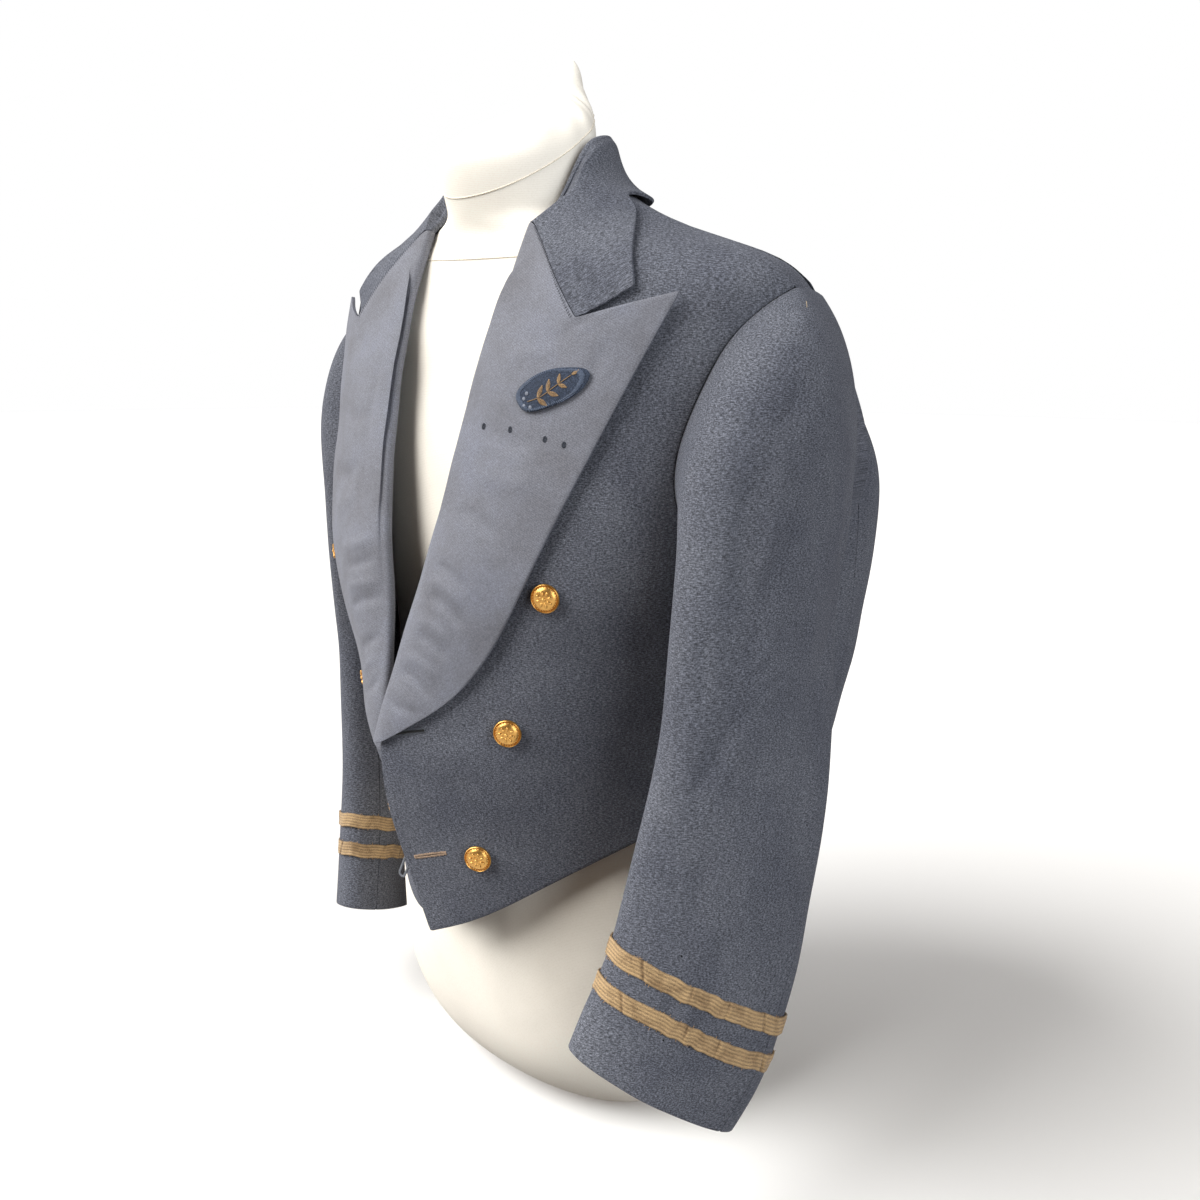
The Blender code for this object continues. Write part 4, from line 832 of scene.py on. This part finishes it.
class MESSJACKET_OT_form(bpy.types.Operator):
    """Cover the dress form in stretched jersey, with a gathered cap and seams"""

    bl_idname = "messjacket.form"
    bl_label = "Dress Form"

    def execute(self, context):
        piece = dressed("dress_form", 3, crease=0.0)
        piece.name = "dress_form_cover"
        points = points_of(piece)
        turn = np.arctan2(points[:, 0], -(points[:, 1] + 0.01))
        # The cap is gathered towards its tip, and the jersey waves a little everywhere above its flat foot.
        cap = ease(points[:, 2], 0.735, 0.765)
        pleats = np.sin(9 * turn + 1.3 * np.sin(2 * turn)) + 0.5 * np.sin(17 * turn + 1.0)
        tip = 1 - ease(points[:, 2], 0.800, 0.821)
        out = unit(points * (1, 1, 0) - (0, 0.012, 0) + (0, 0, 0.02))
        points += out * (0.0009 * cap * tip * pleats)[:, None]
        points += out * (0.0008 * wave(points, 0.09, 5) * ease(points[:, 2], 0.02, 0.06))[:, None]
        set_points(piece, points)
        jersey = finish_named("cream_jersey", cream_jersey, context.scene.jacket.jersey)
        wear(piece, jersey, "form_jersey", "dress_form")
        self.seams(piece)
        return {"FINISHED"}

    @staticmethod
    def seams(piece):
        """Welts where the neck and its cap are sewn on."""
        tree = tree_of(piece)
        paths = []
        for height, lean in ((0.6795, 0.16), (0.752, 0.62)):
            ring = []
            for turn in np.linspace(0, 2 * math.pi, 90, endpoint=False):
                way = Vector((math.sin(turn), -math.cos(turn), 0))
                middle = Vector((0, -0.03, height))
                slope = Vector((way.x, way.y, way.y * lean)).normalized()
                place, normal, _, _ = tree.ray_cast(middle, slope)
                if place is None:
                    raise RuntimeError("the form's seam ring misses its cover")
                ring.append(np.array(place) + np.array(normal) * 0.0001)
            paths.append(ring + ring[:1])
        welt = tubes("form_seam_welts", paths, 0.0005, 2)
        wear(welt, thread("cream_thread", "#EDE2CE"), "form_jersey")


class MESSJACKET_OT_body(bpy.types.Operator):
    """Cut fronts, side bodies and backs in wool, with their creases"""

    bl_idname = "messjacket.body"
    bl_label = "Fronts, Sides and Backs"

    def execute(self, context):
        settings = context.scene.jacket
        for hand, side in SIDES:
            for panel in ("front", "side_body", "back"):
                piece = dressed(f"{panel}_{hand}", settings.divisions)
                points = points_of(piece)
                out = outwards(points, "body", side)
                set_points(piece, points + out * (settings.unevenness * wave(points, 0.07, 11))[:, None])
                if panel == "front":
                    lay_folds(piece, FRONT_FOLDS[hand], side, settings.crease_depth)
                elif panel == "back":
                    lay_folds(piece, BACK_FOLDS, side, settings.crease_depth)
                weave_map(piece, "body", side)
                wear(piece, wool(), "coat_cloth", f"{panel}_{hand}")
        cuts = {
            "front": ((0.30, 0.58), 0.102),
            "side_body": ((0.15, 0.26), 0.030),
            "back": ((0.29, 0.50), 0.130),
        }
        for hand, _ in SIDES:
            for panel, (flat, area) in cuts.items():
                piece = bpy.data.objects[f"{panel}_{hand}_cloth"]
        return {"FINISHED"}


class MESSJACKET_OT_sleeves(bpy.types.Operator):
    """Cut top and under sleeves in wool, with the folds of a hanging arm"""

    bl_idname = "messjacket.sleeves"
    bl_label = "Sleeves"

    def execute(self, context):
        settings = context.scene.jacket
        for hand, side in SIDES:
            for panel in ("top_sleeve", "under_sleeve"):
                piece = dressed(f"{panel}_{hand}", settings.divisions)
                points = points_of(piece)
                out = outwards(points, "sleeve", side)
                set_points(piece, points + out * (settings.unevenness * wave(points, 0.06, 23))[:, None])
                lay_folds(piece, SLEEVE_FOLDS[hand], side, SLEEVE_FOLD_DEPTH * settings.crease_depth)
                weave_map(piece, "sleeve", side)
                wear(piece, wool(), "coat_cloth", f"{panel}_{hand}")
        return {"FINISHED"}


class MESSJACKET_OT_collar(bpy.types.Operator):
    """Make the wool collar and the two silk-faced peaked lapels"""

    bl_idname = "messjacket.collar"
    bl_label = "Collar and Lapels"

    def execute(self, context):
        settings = context.scene.jacket
        piece = dressed("collar", settings.divisions)
        for side in (1, -1):
            lay_folds(piece, COLLAR_FOLDS, side, settings.crease_depth)
        weave_map(piece, "collar", 1)
        wear(piece, wool(), "coat_cloth", "collar")
        facing = finish_named("ribbed_facing", ribbed_facing, settings.facing)
        for hand, side in SIDES:
            piece = dressed(f"lapel_{hand}", settings.divisions)
            points = points_of(piece)
            out = outwards(points, "body", side)
            set_points(piece, points + out * (settings.unevenness * wave(points, 0.07, 11))[:, None])
            lay_folds(piece, LAPEL_FOLDS[hand], side, LAPEL_FOLD_DEPTH * settings.crease_depth)
            weave_map(piece, "lapel", side)
            wear(piece, facing, "lapel_facing", f"lapel_{hand}")
        return {"FINISHED"}


class MESSJACKET_OT_lace(bpy.types.Operator):
    """Sew two bands of puckered, frayed lace round each cuff"""

    bl_idname = "messjacket.lace"
    bl_label = "Cuff Lace"

    def execute(self, context):
        lace = finish_named("tarnished_lace", tarnished_lace, context.scene.jacket.lace)
        random = np.random.default_rng(7)
        frays = []
        for hand, side in SIDES:
            for number in (1, 2):
                frays += self.band(hand, side, number, lace, random)
        fringe = tubes("lace_frayed_ends", frays, 0.00016)
        wear(fringe, thread("lace_thread", "#A98558"), "cuff_lace")
        return {"FINISHED"}

    def band(self, hand, side, number, lace, random):
        """One band with its weave, creases and puckers. Its loose ends are returned as paths."""
        node = f"cuff_braid_{number}_{hand}"
        piece = panel_copy(node, "lace")
        points = points_of(piece)
        middle = points.mean(0)
        axis = np.linalg.svd(points - middle)[2][2]
        axis *= np.sign(axis[2])
        beside = unit(np.cross(axis, (0, 1, 0)) * side)
        ahead = np.cross(axis, beside) * side
        ahead *= -np.sign(ahead[1])
        around, along = self.turned(points, middle, beside, ahead), (points - middle) @ axis
        edge = self.edges(around, along)
        layer = piece.data.uv_layers.new(name="weave")
        for polygon in piece.data.polygons:
            turns = np.array([around[k] for k in polygon.vertices])
            if np.ptp(turns) > math.pi:
                turns = np.where(turns < 0, turns + 2 * math.pi, turns)
            for k, vertex, turn in zip(polygon.loop_indices, polygon.vertices, turns):
                layer.data[k].uv = (turn * CUFF_RADIUS, edge[vertex])
        divide(piece, 4, 0.7, 60)
        points = points_of(piece)
        around, along = self.turned(points, middle, beside, ahead), (points - middle) @ axis
        out = unit((points - middle) - along[:, None] * axis)
        lift = 0.00022 * wave(points, 0.009, 31 + number)
        # A mask of the crease troughs, stored on the band, where the lace's colour is darkened with painted
        # shade.
        crease_shade = np.zeros(len(points))
        for degrees in LACE_CREASES[hand, number]:
            off = (around - math.radians(degrees) + math.pi) % (2 * math.pi) - math.pi
            off += 0.25 * along / CUFF_RADIUS
            crease = np.exp(-((off * CUFF_RADIUS / 0.0011) ** 2))
            lift += 0.0005 * np.exp(-(((off * CUFF_RADIUS - 0.003) / 0.0022) ** 2)) - 0.0006 * crease
            crease_shade = np.maximum(crease_shade, crease)
        unrolled = np.c_[around * CUFF_RADIUS, np.zeros((len(around), 2))]
        shift = 0.0006 * wave(unrolled, 0.02, 41 + number) - LACE_NARROWING * along
        crease_shade *= 0.6 + 0.4 * wave(points, 0.008, 51 + number)
        set_points(piece, points + out * (lift - 0.0001)[:, None] + axis * shift[:, None])
        piece.data.attributes.new("crease_shade", "FLOAT", "POINT").data.foreach_set("value", crease_shade.astype(np.float32))
        wear(piece, lace, "cuff_lace", node)
        return self.frays(piece, axis, random)

    @staticmethod
    def turned(points, middle, beside, ahead):
        """The angle round the cuff, 0 on its outer side and a quarter turn at its front."""
        off = points - middle
        return np.arctan2(off @ ahead, off @ beside)

    @staticmethod
    def edges(around, along):
        """0 on the band's lower edge and 1 on its upper one, by comparing each point with its neighbours."""
        found = np.zeros(len(around))
        for k, (turn, height) in enumerate(zip(around, along)):
            near = np.abs((around - turn + math.pi) % (2 * math.pi) - math.pi) < 0.30
            found[k] = float(height > (along[near].max() + along[near].min()) / 2)
        return found

    @staticmethod
    def frays(piece, axis, random):
        """Short loose ends that stand off the band's two edges."""
        points = points_of(piece)
        normals = np.empty(len(points) * 3, np.float32)
        piece.data.vertices.foreach_get("normal", normals)
        normals = normals.reshape(-1, 3)
        rim = np.flatnonzero(np.abs(normals @ axis) > 0.75)
        chosen = random.choice(rim, 90, replace=False)
        made = []
        for k in chosen:
            way = axis * np.sign(normals[k] @ axis)
            start = points[k] - way * 0.0004
            bend = random.normal(size=3) * 0.0004
            reach = random.uniform(0.0006, 0.0019)
            made.append([start, start + way * reach * 0.6 + bend * 0.4, start + way * reach + bend])
        return made


class MESSJACKET_OT_buttons(bpy.types.Operator):
    """Stamp six gilt buttons with a rim, a ring of beads and a rosette"""

    bl_idname = "messjacket.buttons"
    bl_label = "Buttons"

    def execute(self, context):
        model = self.model(context.scene.jacket_buttons)
        brass = finish_named("gilt_brass", gilt_brass, context.scene.jacket.brass)
        for hand, side in SIDES:
            for number in (1, 2, 3):
                node = f"button_{number}_{hand}"
                points = points_of(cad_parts[node])
                middle = (points.max(0) + points.min(0)) / 2
                facing = np.linalg.svd(points - points.mean(0))[2][2]
                facing *= -np.sign(facing[1])
                low = ((points - middle) @ facing).min()
                across = unit(np.cross((0, 0, 1.0), facing))
                up = np.cross(facing, across)
                tilt = math.radians(BUTTON_TURNS[number - 1] * side)
                cos, sin = math.cos(tilt), math.sin(tilt)
                across, up = across * cos + up * sin, up * cos - across * sin
                foot = points.mean(0) + facing * (low - (points.mean(0) - middle) @ facing)
                place = Matrix.Identity(4)
                for column, vector in enumerate((across, up, facing, foot)):
                    for row in range(3):
                        place[row][column] = vector[row]
                piece = bpy.data.objects.new(f"{node}_gilt", model.data.copy())
                context.scene.collection.objects.link(piece)
                piece.data.transform(place)
                wear(piece, brass, "gilt_brass", node)
        bpy.data.objects.remove(model)
        return {"FINISHED"}

    def model(self, settings):
        """One button at the origin, facing up: a turned dome and rim, beads and a rosette of petals."""
        r = settings.radius
        size, height = BUTTON_OUTLINE[0][0], 0.0002
        bpy.ops.mesh.primitive_circle_add(
            vertices=64, radius=r * size, fill_type="NGON", location=(0, 0, height)
        )
        dome = bpy.context.object
        bpy.ops.object.mode_set(mode="EDIT")
        for share, level in BUTTON_OUTLINE:
            bpy.ops.mesh.extrude_region_move(TRANSFORM_OT_translate={"value": (0, 0, level - height)})
            bpy.ops.transform.resize(value=(share / size, share / size, 1))
            size, height = share, level
        bpy.ops.mesh.select_all(action="SELECT")
        bpy.ops.mesh.normals_make_consistent(inside=False)
        bpy.ops.object.mode_set(mode="OBJECT")
        bpy.ops.object.shade_smooth_by_angle(angle=math.radians(50))
        raised = [dome]
        for k in range(28):
            turn = 2 * math.pi * k / 28
            at = (r * 0.80 * math.cos(turn), r * 0.80 * math.sin(turn), 0.0047)
            raised.append(self.bead(at, (0.00048, 0.00048, 0.0005), turn))
        for k in range(settings.petals):
            turn = 2 * math.pi * k / settings.petals
            at = (r * 0.41 * math.cos(turn), r * 0.41 * math.sin(turn), 0.0064)
            raised.append(self.bead(at, (0.0021, 0.00105, 0.00105), turn))
        raised.append(self.bead((0, 0, 0.0067), (0.0015, 0.0015, 0.0013), 0))
        only(dome)
        for piece in raised:
            piece.select_set(True)
        bpy.ops.object.join()
        bpy.ops.object.transform_apply(location=True, rotation=True, scale=True)
        return bpy.context.object

    @staticmethod
    def bead(place, size, turn):
        """One raised bead or petal, as a flattened ball."""
        bpy.ops.mesh.primitive_uv_sphere_add(
            segments=12, ring_count=8, radius=1, location=place, rotation=(0, 0, turn)
        )
        piece = bpy.context.object
        piece.scale = size
        bpy.ops.object.shade_smooth()
        return piece


class MESSJACKET_OT_sewing(bpy.types.Operator):
    """Work buttonholes, eyelets and stitches, and finish the fastening loop"""

    bl_idname = "messjacket.sewing"
    bl_label = "Buttonholes and Stitches"

    def execute(self, context):
        front = tree_of(bpy.data.objects["front_left_cloth"])
        lapel = tree_of(bpy.data.objects["lapel_left_cloth"])
        tan = thread("buttonhole_twist", "#A98F78")
        grey = thread("grey_twist", "#5C6068")
        dark = thread("slate_thread", "#2A2F3A")
        self.buttonhole("lower_buttonhole", front, LOWER_BUTTONHOLE, 0.0006, tan, 5)
        self.buttonhole("upper_buttonhole", front, UPPER_BUTTONHOLE, 0.0022, grey, 6)
        stitches = []
        for across, height in EYELETS:
            stitches += self.eyelet(lapel, across, height)
        wear(tubes("lapel_eyelets", stitches, 0.00030), dark, "lapel_facing")
        marks = []
        for across, height in EDGE_STITCHES:
            place, out = seek(front, "front", across, height)
            start = place + out * 0.0002
            middle = place + out * 0.0006 + (0.0008, 0, -0.0012)
            end = place + out * 0.0001 + (0.0012, 0, -0.0028)
            marks.append([start, middle, end])
        wear(tubes("front_edge_stitches", marks, 0.00025), dark, "coat_cloth")
        self.gorge(dark)
        self.marks()
        piece = dressed("fastening_loop", 3, crease=0.2)
        weave_map(piece, "body", 1)
        wear(piece, thread("loop_tape", "#6E727A"), "loop_cord", "fastening_loop")
        return {"FINISHED"}

    @staticmethod
    def marks():
        """Two pin holes in the left cuff and a pale thread end caught at the sleeve's head."""
        tree = tree_of(bpy.data.objects["top_sleeve_left_cloth"])
        holes = []
        for across, height in PIN_HOLES:
            place, out = seek(tree, "side", across, height)
            holes.append([place - out * 0.0003, place + out * 0.0001])
        wear(tubes("cuff_pin_holes", holes, 0.0007, 2), slit_shadow(), "coat_cloth")
        place, out = seek(tree, "side", *LOOSE_THREAD)
        bend = place + out * 0.0008 + (0, -0.001, 0.0012)
        tip = place + out * 0.0004 + (0, -0.0012, 0.0035)
        loose_end = tubes("loose_pale_thread", [curve_through([place, bend, tip], 9)], 0.0003)
        wear(loose_end, thread("undyed_thread", "#C9B79C"), "coat_cloth")

    @staticmethod
    def buttonhole(name, tree, line, gape, finish, seed):
        """Close stitches over both lips of a slit, with a bar at each end, and the dark slit between them."""
        found = [seek(tree, "front", a, b) for a, b in line]
        path = curve_through([place for place, _ in found], 60)
        out = unit(np.mean([normal for _, normal in found], axis=0))
        run = unit(path[-1] - path[0])
        up = unit(np.cross(out, run)) * np.sign(np.cross(out, run)[2])
        random = np.random.default_rng(seed)
        stitches = []
        for sign in (-1, 1):
            for k, place in enumerate(path):
                open_here = gape * math.sin(math.pi * k / (len(path) - 1)) ** 0.6
                inner = place + up * sign * (open_here / 2 + 0.0001)
                reach = 0.0013 * random.uniform(0.8, 1.15)
                outer = inner + up * sign * reach + run * random.uniform(-0.0002, 0.0002)
                over = [inner + out * 0.0004, outer + out * 0.0003]
                stitches.append([inner - out * 0.0006, *over, outer - out * 0.0006])
        for end in (path[0], path[-1]):
            for k in range(4):
                at = end + run * 0.0003 * (k - 1.5)
                foot, head = at - up * 0.0015 - out * 0.0003, at + up * 0.0015 - out * 0.0003
                stitches.append([foot, at + out * 0.0006, head])
        wear(tubes(name, stitches, 0.00022), finish, "coat_cloth")
        slit = tubes(f"{name}_slit", [path + out * 0.00005], max(gape * 0.5, 0.0003), 2)
        wear(slit, slit_shadow(), "coat_cloth")

    @staticmethod
    def eyelet(tree, across, height):
        """A small ring of stitches round a worked hole."""
        place, out = seek(tree, "front", across, height)
        side = unit(np.cross((0, 0, 1.0), out))
        up = np.cross(out, side)
        made = []
        for turn in np.linspace(0, 2 * math.pi, 12, endpoint=False):
            way = side * math.cos(turn) * 0.75 + up * math.sin(turn)
            inner, outer = place + way * 0.0004 - out * 0.0003, place + way * 0.0022 + out * 0.0001
            made.append([inner, place + way * 0.0012 + out * 0.0005, outer])
        return made

    @staticmethod
    def gorge(finish):
        """Small slanting stitches over the seams between the lapels and the collar."""
        random = np.random.default_rng(12)
        made = []
        for hand, side in SIDES:
            tree = tree_of(bpy.data.objects[f"lapel_{hand}_cloth"])
            line = curve_through([(0.068, 0.6905), (0.096, 0.6620), (0.1255, 0.6295)], 44)
            for across, height in line:
                place, out = seek(tree, "front", across, height, side)
                slant = np.array((0.0011 * side, 0, 0.0013)) * random.uniform(0.7, 1.2)
                made.append([place - slant, place + out * 0.0003, place + slant])
        wear(tubes("gorge_stitches", made, 0.00016), finish, "coat_cloth")


class MESSJACKET_OT_sprig(bpy.types.Operator):
    """Embroider a plain leaf sprig on its felt patch"""

    bl_idname = "messjacket.sprig"
    bl_label = "Sprig Patch"

    def execute(self, context):
        piece = dressed("sprig_patch", 3, crease=0.3)
        wear(piece, finish_named("napped_felt", napped_felt, "#333B4A"), "dark_felt", "sprig_patch")
        self.tree = tree_of(piece)
        self.middle, self.out = seek(self.tree, "front", *PATCH_CENTRE)
        tilt = math.radians(PATCH_TILT)
        across = unit(np.cross((0, 0, 1.0), self.out))
        up = np.cross(self.out, across)
        self.long = across * math.cos(tilt) + up * math.sin(tilt)
        self.short = up * math.cos(tilt) - across * math.sin(tilt)
        edging = tubes("sprig_edge_stitches", self.edging(), 0.00032)
        wear(edging, thread("edge_thread", "#59657A"), "dark_felt")
        leaves, berries, stem = self.sprig()
        gold = finish_named("gold_thread", spun_thread, "#A88860", 0.6)
        wear(tubes("sprig_leaves", leaves, 0.00024), gold, "dark_felt")
        wear(tubes("sprig_stem", stem, 0.00030), thread("tan_thread", "#8F7350"), "dark_felt")
        wear(tubes("sprig_berries", berries, 0.00024), thread("pale_thread", "#868C99"), "dark_felt")
        return {"FINISHED"}

    def on_patch(self, a, b, lift):
        """A place on the patch, a along it and b across it from its middle, in metres."""
        start = Vector(self.middle + self.long * a + self.short * b + self.out * 0.02)
        place, _, _, _ = self.tree.ray_cast(start, Vector(-self.out))
        if place is None:
            place = self.tree.find_nearest(start)[0]
        return np.array(place) + self.out * lift

    def edging(self):
        """Blanket stitches all round the edge."""
        made = []
        random = np.random.default_rng(3)
        for turn in np.linspace(0, 2 * math.pi, 110, endpoint=False):
            edge = 1 + 0.05 * math.cos(3 * turn) + 0.03 * math.sin(5 * turn)
            a, b = math.cos(turn) * edge * 0.027, math.sin(turn) * edge * 0.0125
            near, far = 0.85 + random.uniform(-0.02, 0.02), 0.985 + random.uniform(-0.02, 0.02)
            steps = ((near, 0.0001), (0.93, 0.0005), (far, 0.0))
            made.append([self.on_patch(a * share, b * share, lift) for share, lift in steps])
        return made

    def sprig(self):
        """A curved stem with paired pointed leaves in satin stitch, and a few round berries at its foot."""
        stem_line = curve_through([(-0.017, -0.0035), (-0.006, -0.0035), (0.006, 0.0), (0.0185, 0.0035)], 30)
        stem = [[self.on_patch(a, b, 0.0003) for a, b in stem_line]]
        leaves = []
        for k, share in enumerate((0.26, 0.50, 0.74)):
            i = int(share * (len(stem_line) - 1))
            at = stem_line[i]
            run = unit(stem_line[i + 1] - stem_line[i - 1])
            size = (0.0086, 0.0080, 0.0064)[k]
            for sign in (1, -1):
                leaves += self.leaf(at, run, sign, size)
        tip, run = stem_line[-1], unit(stem_line[-1] - stem_line[-3])
        leaves += self.leaf(tip + run * 0.0004, run, 0, 0.0058)
        berries = []
        for a, b in ((-0.0195, -0.0005), (-0.0205, -0.0052), (-0.0165, 0.0022), (-0.0158, -0.0078)):
            for turn in np.linspace(0, math.pi, 7, endpoint=False):
                x, y = math.cos(turn) * 0.00125, math.sin(turn) * 0.00125
                steps = ((a - x, b - y, 0.0001), (a, b, 0.0008), (a + x, b + y, 0.0001))
                berries.append([self.on_patch(*step) for step in steps])
        return leaves, berries, stem

    def leaf(self, at, run, sign, size):
        """One pointed leaf of slanting stitches either side of its vein."""
        turn = math.radians(50) * sign
        cos, sin = math.cos(turn), math.sin(turn)
        way = np.array((run[0] * cos - run[1] * sin, run[0] * sin + run[1] * cos))
        over = np.array((-way[1], way[0]))
        made = []
        for share in np.linspace(0.10, 0.95, 9):
            spread = 0.20 * size * math.sin(math.pi * share**0.8)
            spine = at + way * size * share
            for half in (1, -1):
                tip = spine + over * spread * half + way * size * 0.12
                steps = ((spine, 0.0003), ((spine + tip) / 2, 0.0005), (tip, 0.0001))
                made.append([self.on_patch(*place, lift) for place, lift in steps])
        return made


class MESSJACKET_OT_studio(bpy.types.Operator):
    """Lay a pale floor, hang soft lights and place the camera"""

    bl_idname = "messjacket.studio"
    bl_label = "Studio"

    def execute(self, context):
        settings = context.scene.jacket_studio
        only_none()
        bpy.ops.mesh.primitive_circle_add(vertices=96, radius=9, fill_type="NGON", location=(0, 0, -0.0002))
        floor = context.object
        floor.name = "floor"
        paint, tree, shader = start_material("white_sweep", Roughness=0.95, Specular_IOR_Level=0.1)
        body = add(tree, "ShaderNodeTexCoord").outputs["Object"]
        grain = add(tree, "ShaderNodeTexNoise", {"Vector": body, "Scale": 2.0, "Detail": 2.0}).outputs[0]
        white = ramp(tree, grain, (0.3, linear("#FAFAF9")), (0.7, linear("#FCFCFB")))
        tree.links.new(white, shader.inputs["Base Color"])
        floor.data.materials.append(paint)
        floor.visible_diffuse = False
        self.light("side_window", -62, 20, 50, 1.9, (1.0, 1.0, 1.0))
        self.light("front_window", -22, 41, 44, 3.8, (1.0, 0.99, 0.97))
        self.light("far_window", 86, 14, 50, 2.5, (0.92, 0.96, 1.0))
        self.air(context)
        context.scene.view_settings.view_transform = "Standard"
        self.camera(settings)
        return {"FINISHED"}

    @staticmethod
    def light(name, turn, rise, spread, strength, colour):
        """A far soft light, turned to the wearer's left of straight ahead and raised, in degrees, and this
        wide."""
        turn, rise = math.radians(turn), math.radians(rise)
        away = Vector((math.sin(turn) * math.cos(rise), -math.cos(turn) * math.cos(rise), math.sin(rise)))
        bpy.ops.object.light_add(type="SUN", location=away * 3)
        lamp = bpy.context.object
        lamp.name = name
        lamp.data.angle = math.radians(spread)
        lamp.data.energy = strength
        lamp.data.color = colour
        lamp.rotation_euler = away.to_track_quat("Z", "Y").to_euler()

    @staticmethod
    def air(context):
        """White where the camera sees past the floor, and a weak warm light from all round."""
        world = bpy.data.worlds.new("studio_air")
        world.use_nodes = True
        tree = world.node_tree
        glow = tree.nodes["Background"]
        glow.inputs["Color"].default_value = (1.0, 0.78, 0.62, 1)
        glow.inputs["Strength"].default_value = 0.11
        white = add(tree, "ShaderNodeBackground", {"Color": (1, 1, 1, 1), "Strength": 1.0})
        seen = add(tree, "ShaderNodeLightPath").outputs["Is Camera Ray"]
        both = add(tree, "ShaderNodeMixShader", {0: seen, 1: glow.outputs[0], 2: white.outputs[0]})
        tree.links.new(both.outputs[0], tree.nodes["World Output"].inputs["Surface"])
        context.scene.world = world

    @staticmethod
    def camera(settings):
        a, e, roll = settings.azimuth, settings.elevation, settings.roll
        back = Vector((math.sin(a) * math.cos(e), -math.cos(a) * math.cos(e), math.sin(e)))
        right = (-back).cross(Vector((0, 0, 1))).normalized()
        up = right.cross(-back)
        right, up = right * math.cos(roll) + up * math.sin(roll), up * math.cos(roll) - right * math.sin(roll)
        bpy.ops.object.camera_add(location=Vector(settings.target) + back * settings.distance)
        seer = bpy.context.object
        turned = Matrix((right, up, back)).transposed()
        seer.rotation_euler = turned.to_euler()
        seer.data.sensor_width = 36
        seer.data.lens = settings.lens
        bpy.context.scene.camera = seer


class MESSJACKET_PT_sidebar(bpy.types.Panel):
    """Lists the steps and the settings"""

    bl_idname = "MESSJACKET_PT_sidebar"
    bl_label = "Mess Jacket"
    bl_space_type = "VIEW_3D"
    bl_region_type = "UI"
    bl_category = "Mess Jacket"

    def draw(self, context):
        for group in ("jacket", "jacket_buttons", "jacket_studio"):
            settings = getattr(context.scene, group)
            box = self.layout.box()
            for name in settings.__annotations__:
                box.prop(settings, name)
        for step in OPERATORS:
            self.layout.operator(step.bl_idname)


OPERATORS = (
    MESSJACKET_OT_form,
    MESSJACKET_OT_body,
    MESSJACKET_OT_sleeves,
    MESSJACKET_OT_collar,
    MESSJACKET_OT_lace,
    MESSJACKET_OT_buttons,
    MESSJACKET_OT_sewing,
    MESSJACKET_OT_sprig,
    MESSJACKET_OT_studio,
)
GROUPS = {"jacket": JacketSettings, "jacket_buttons": ButtonSettings, "jacket_studio": StudioSettings}


def register():
    for name, group in GROUPS.items():
        bpy.utils.register_class(group)
        setattr(bpy.types.Scene, name, bpy.props.PointerProperty(type=group))
    for made in (*OPERATORS, MESSJACKET_PT_sidebar):
        bpy.utils.register_class(made)


def unregister():
    for made in (MESSJACKET_PT_sidebar, *reversed(OPERATORS)):
        bpy.utils.unregister_class(made)
    for name, group in GROUPS.items():
        delattr(bpy.types.Scene, name)
        bpy.utils.unregister_class(group)


def main():
    register()
    for operator in OPERATORS:
        group, _, name = operator.bl_idname.partition(".")
        getattr(getattr(bpy.ops, group), name)()


if __name__ == "__main__":
    main()
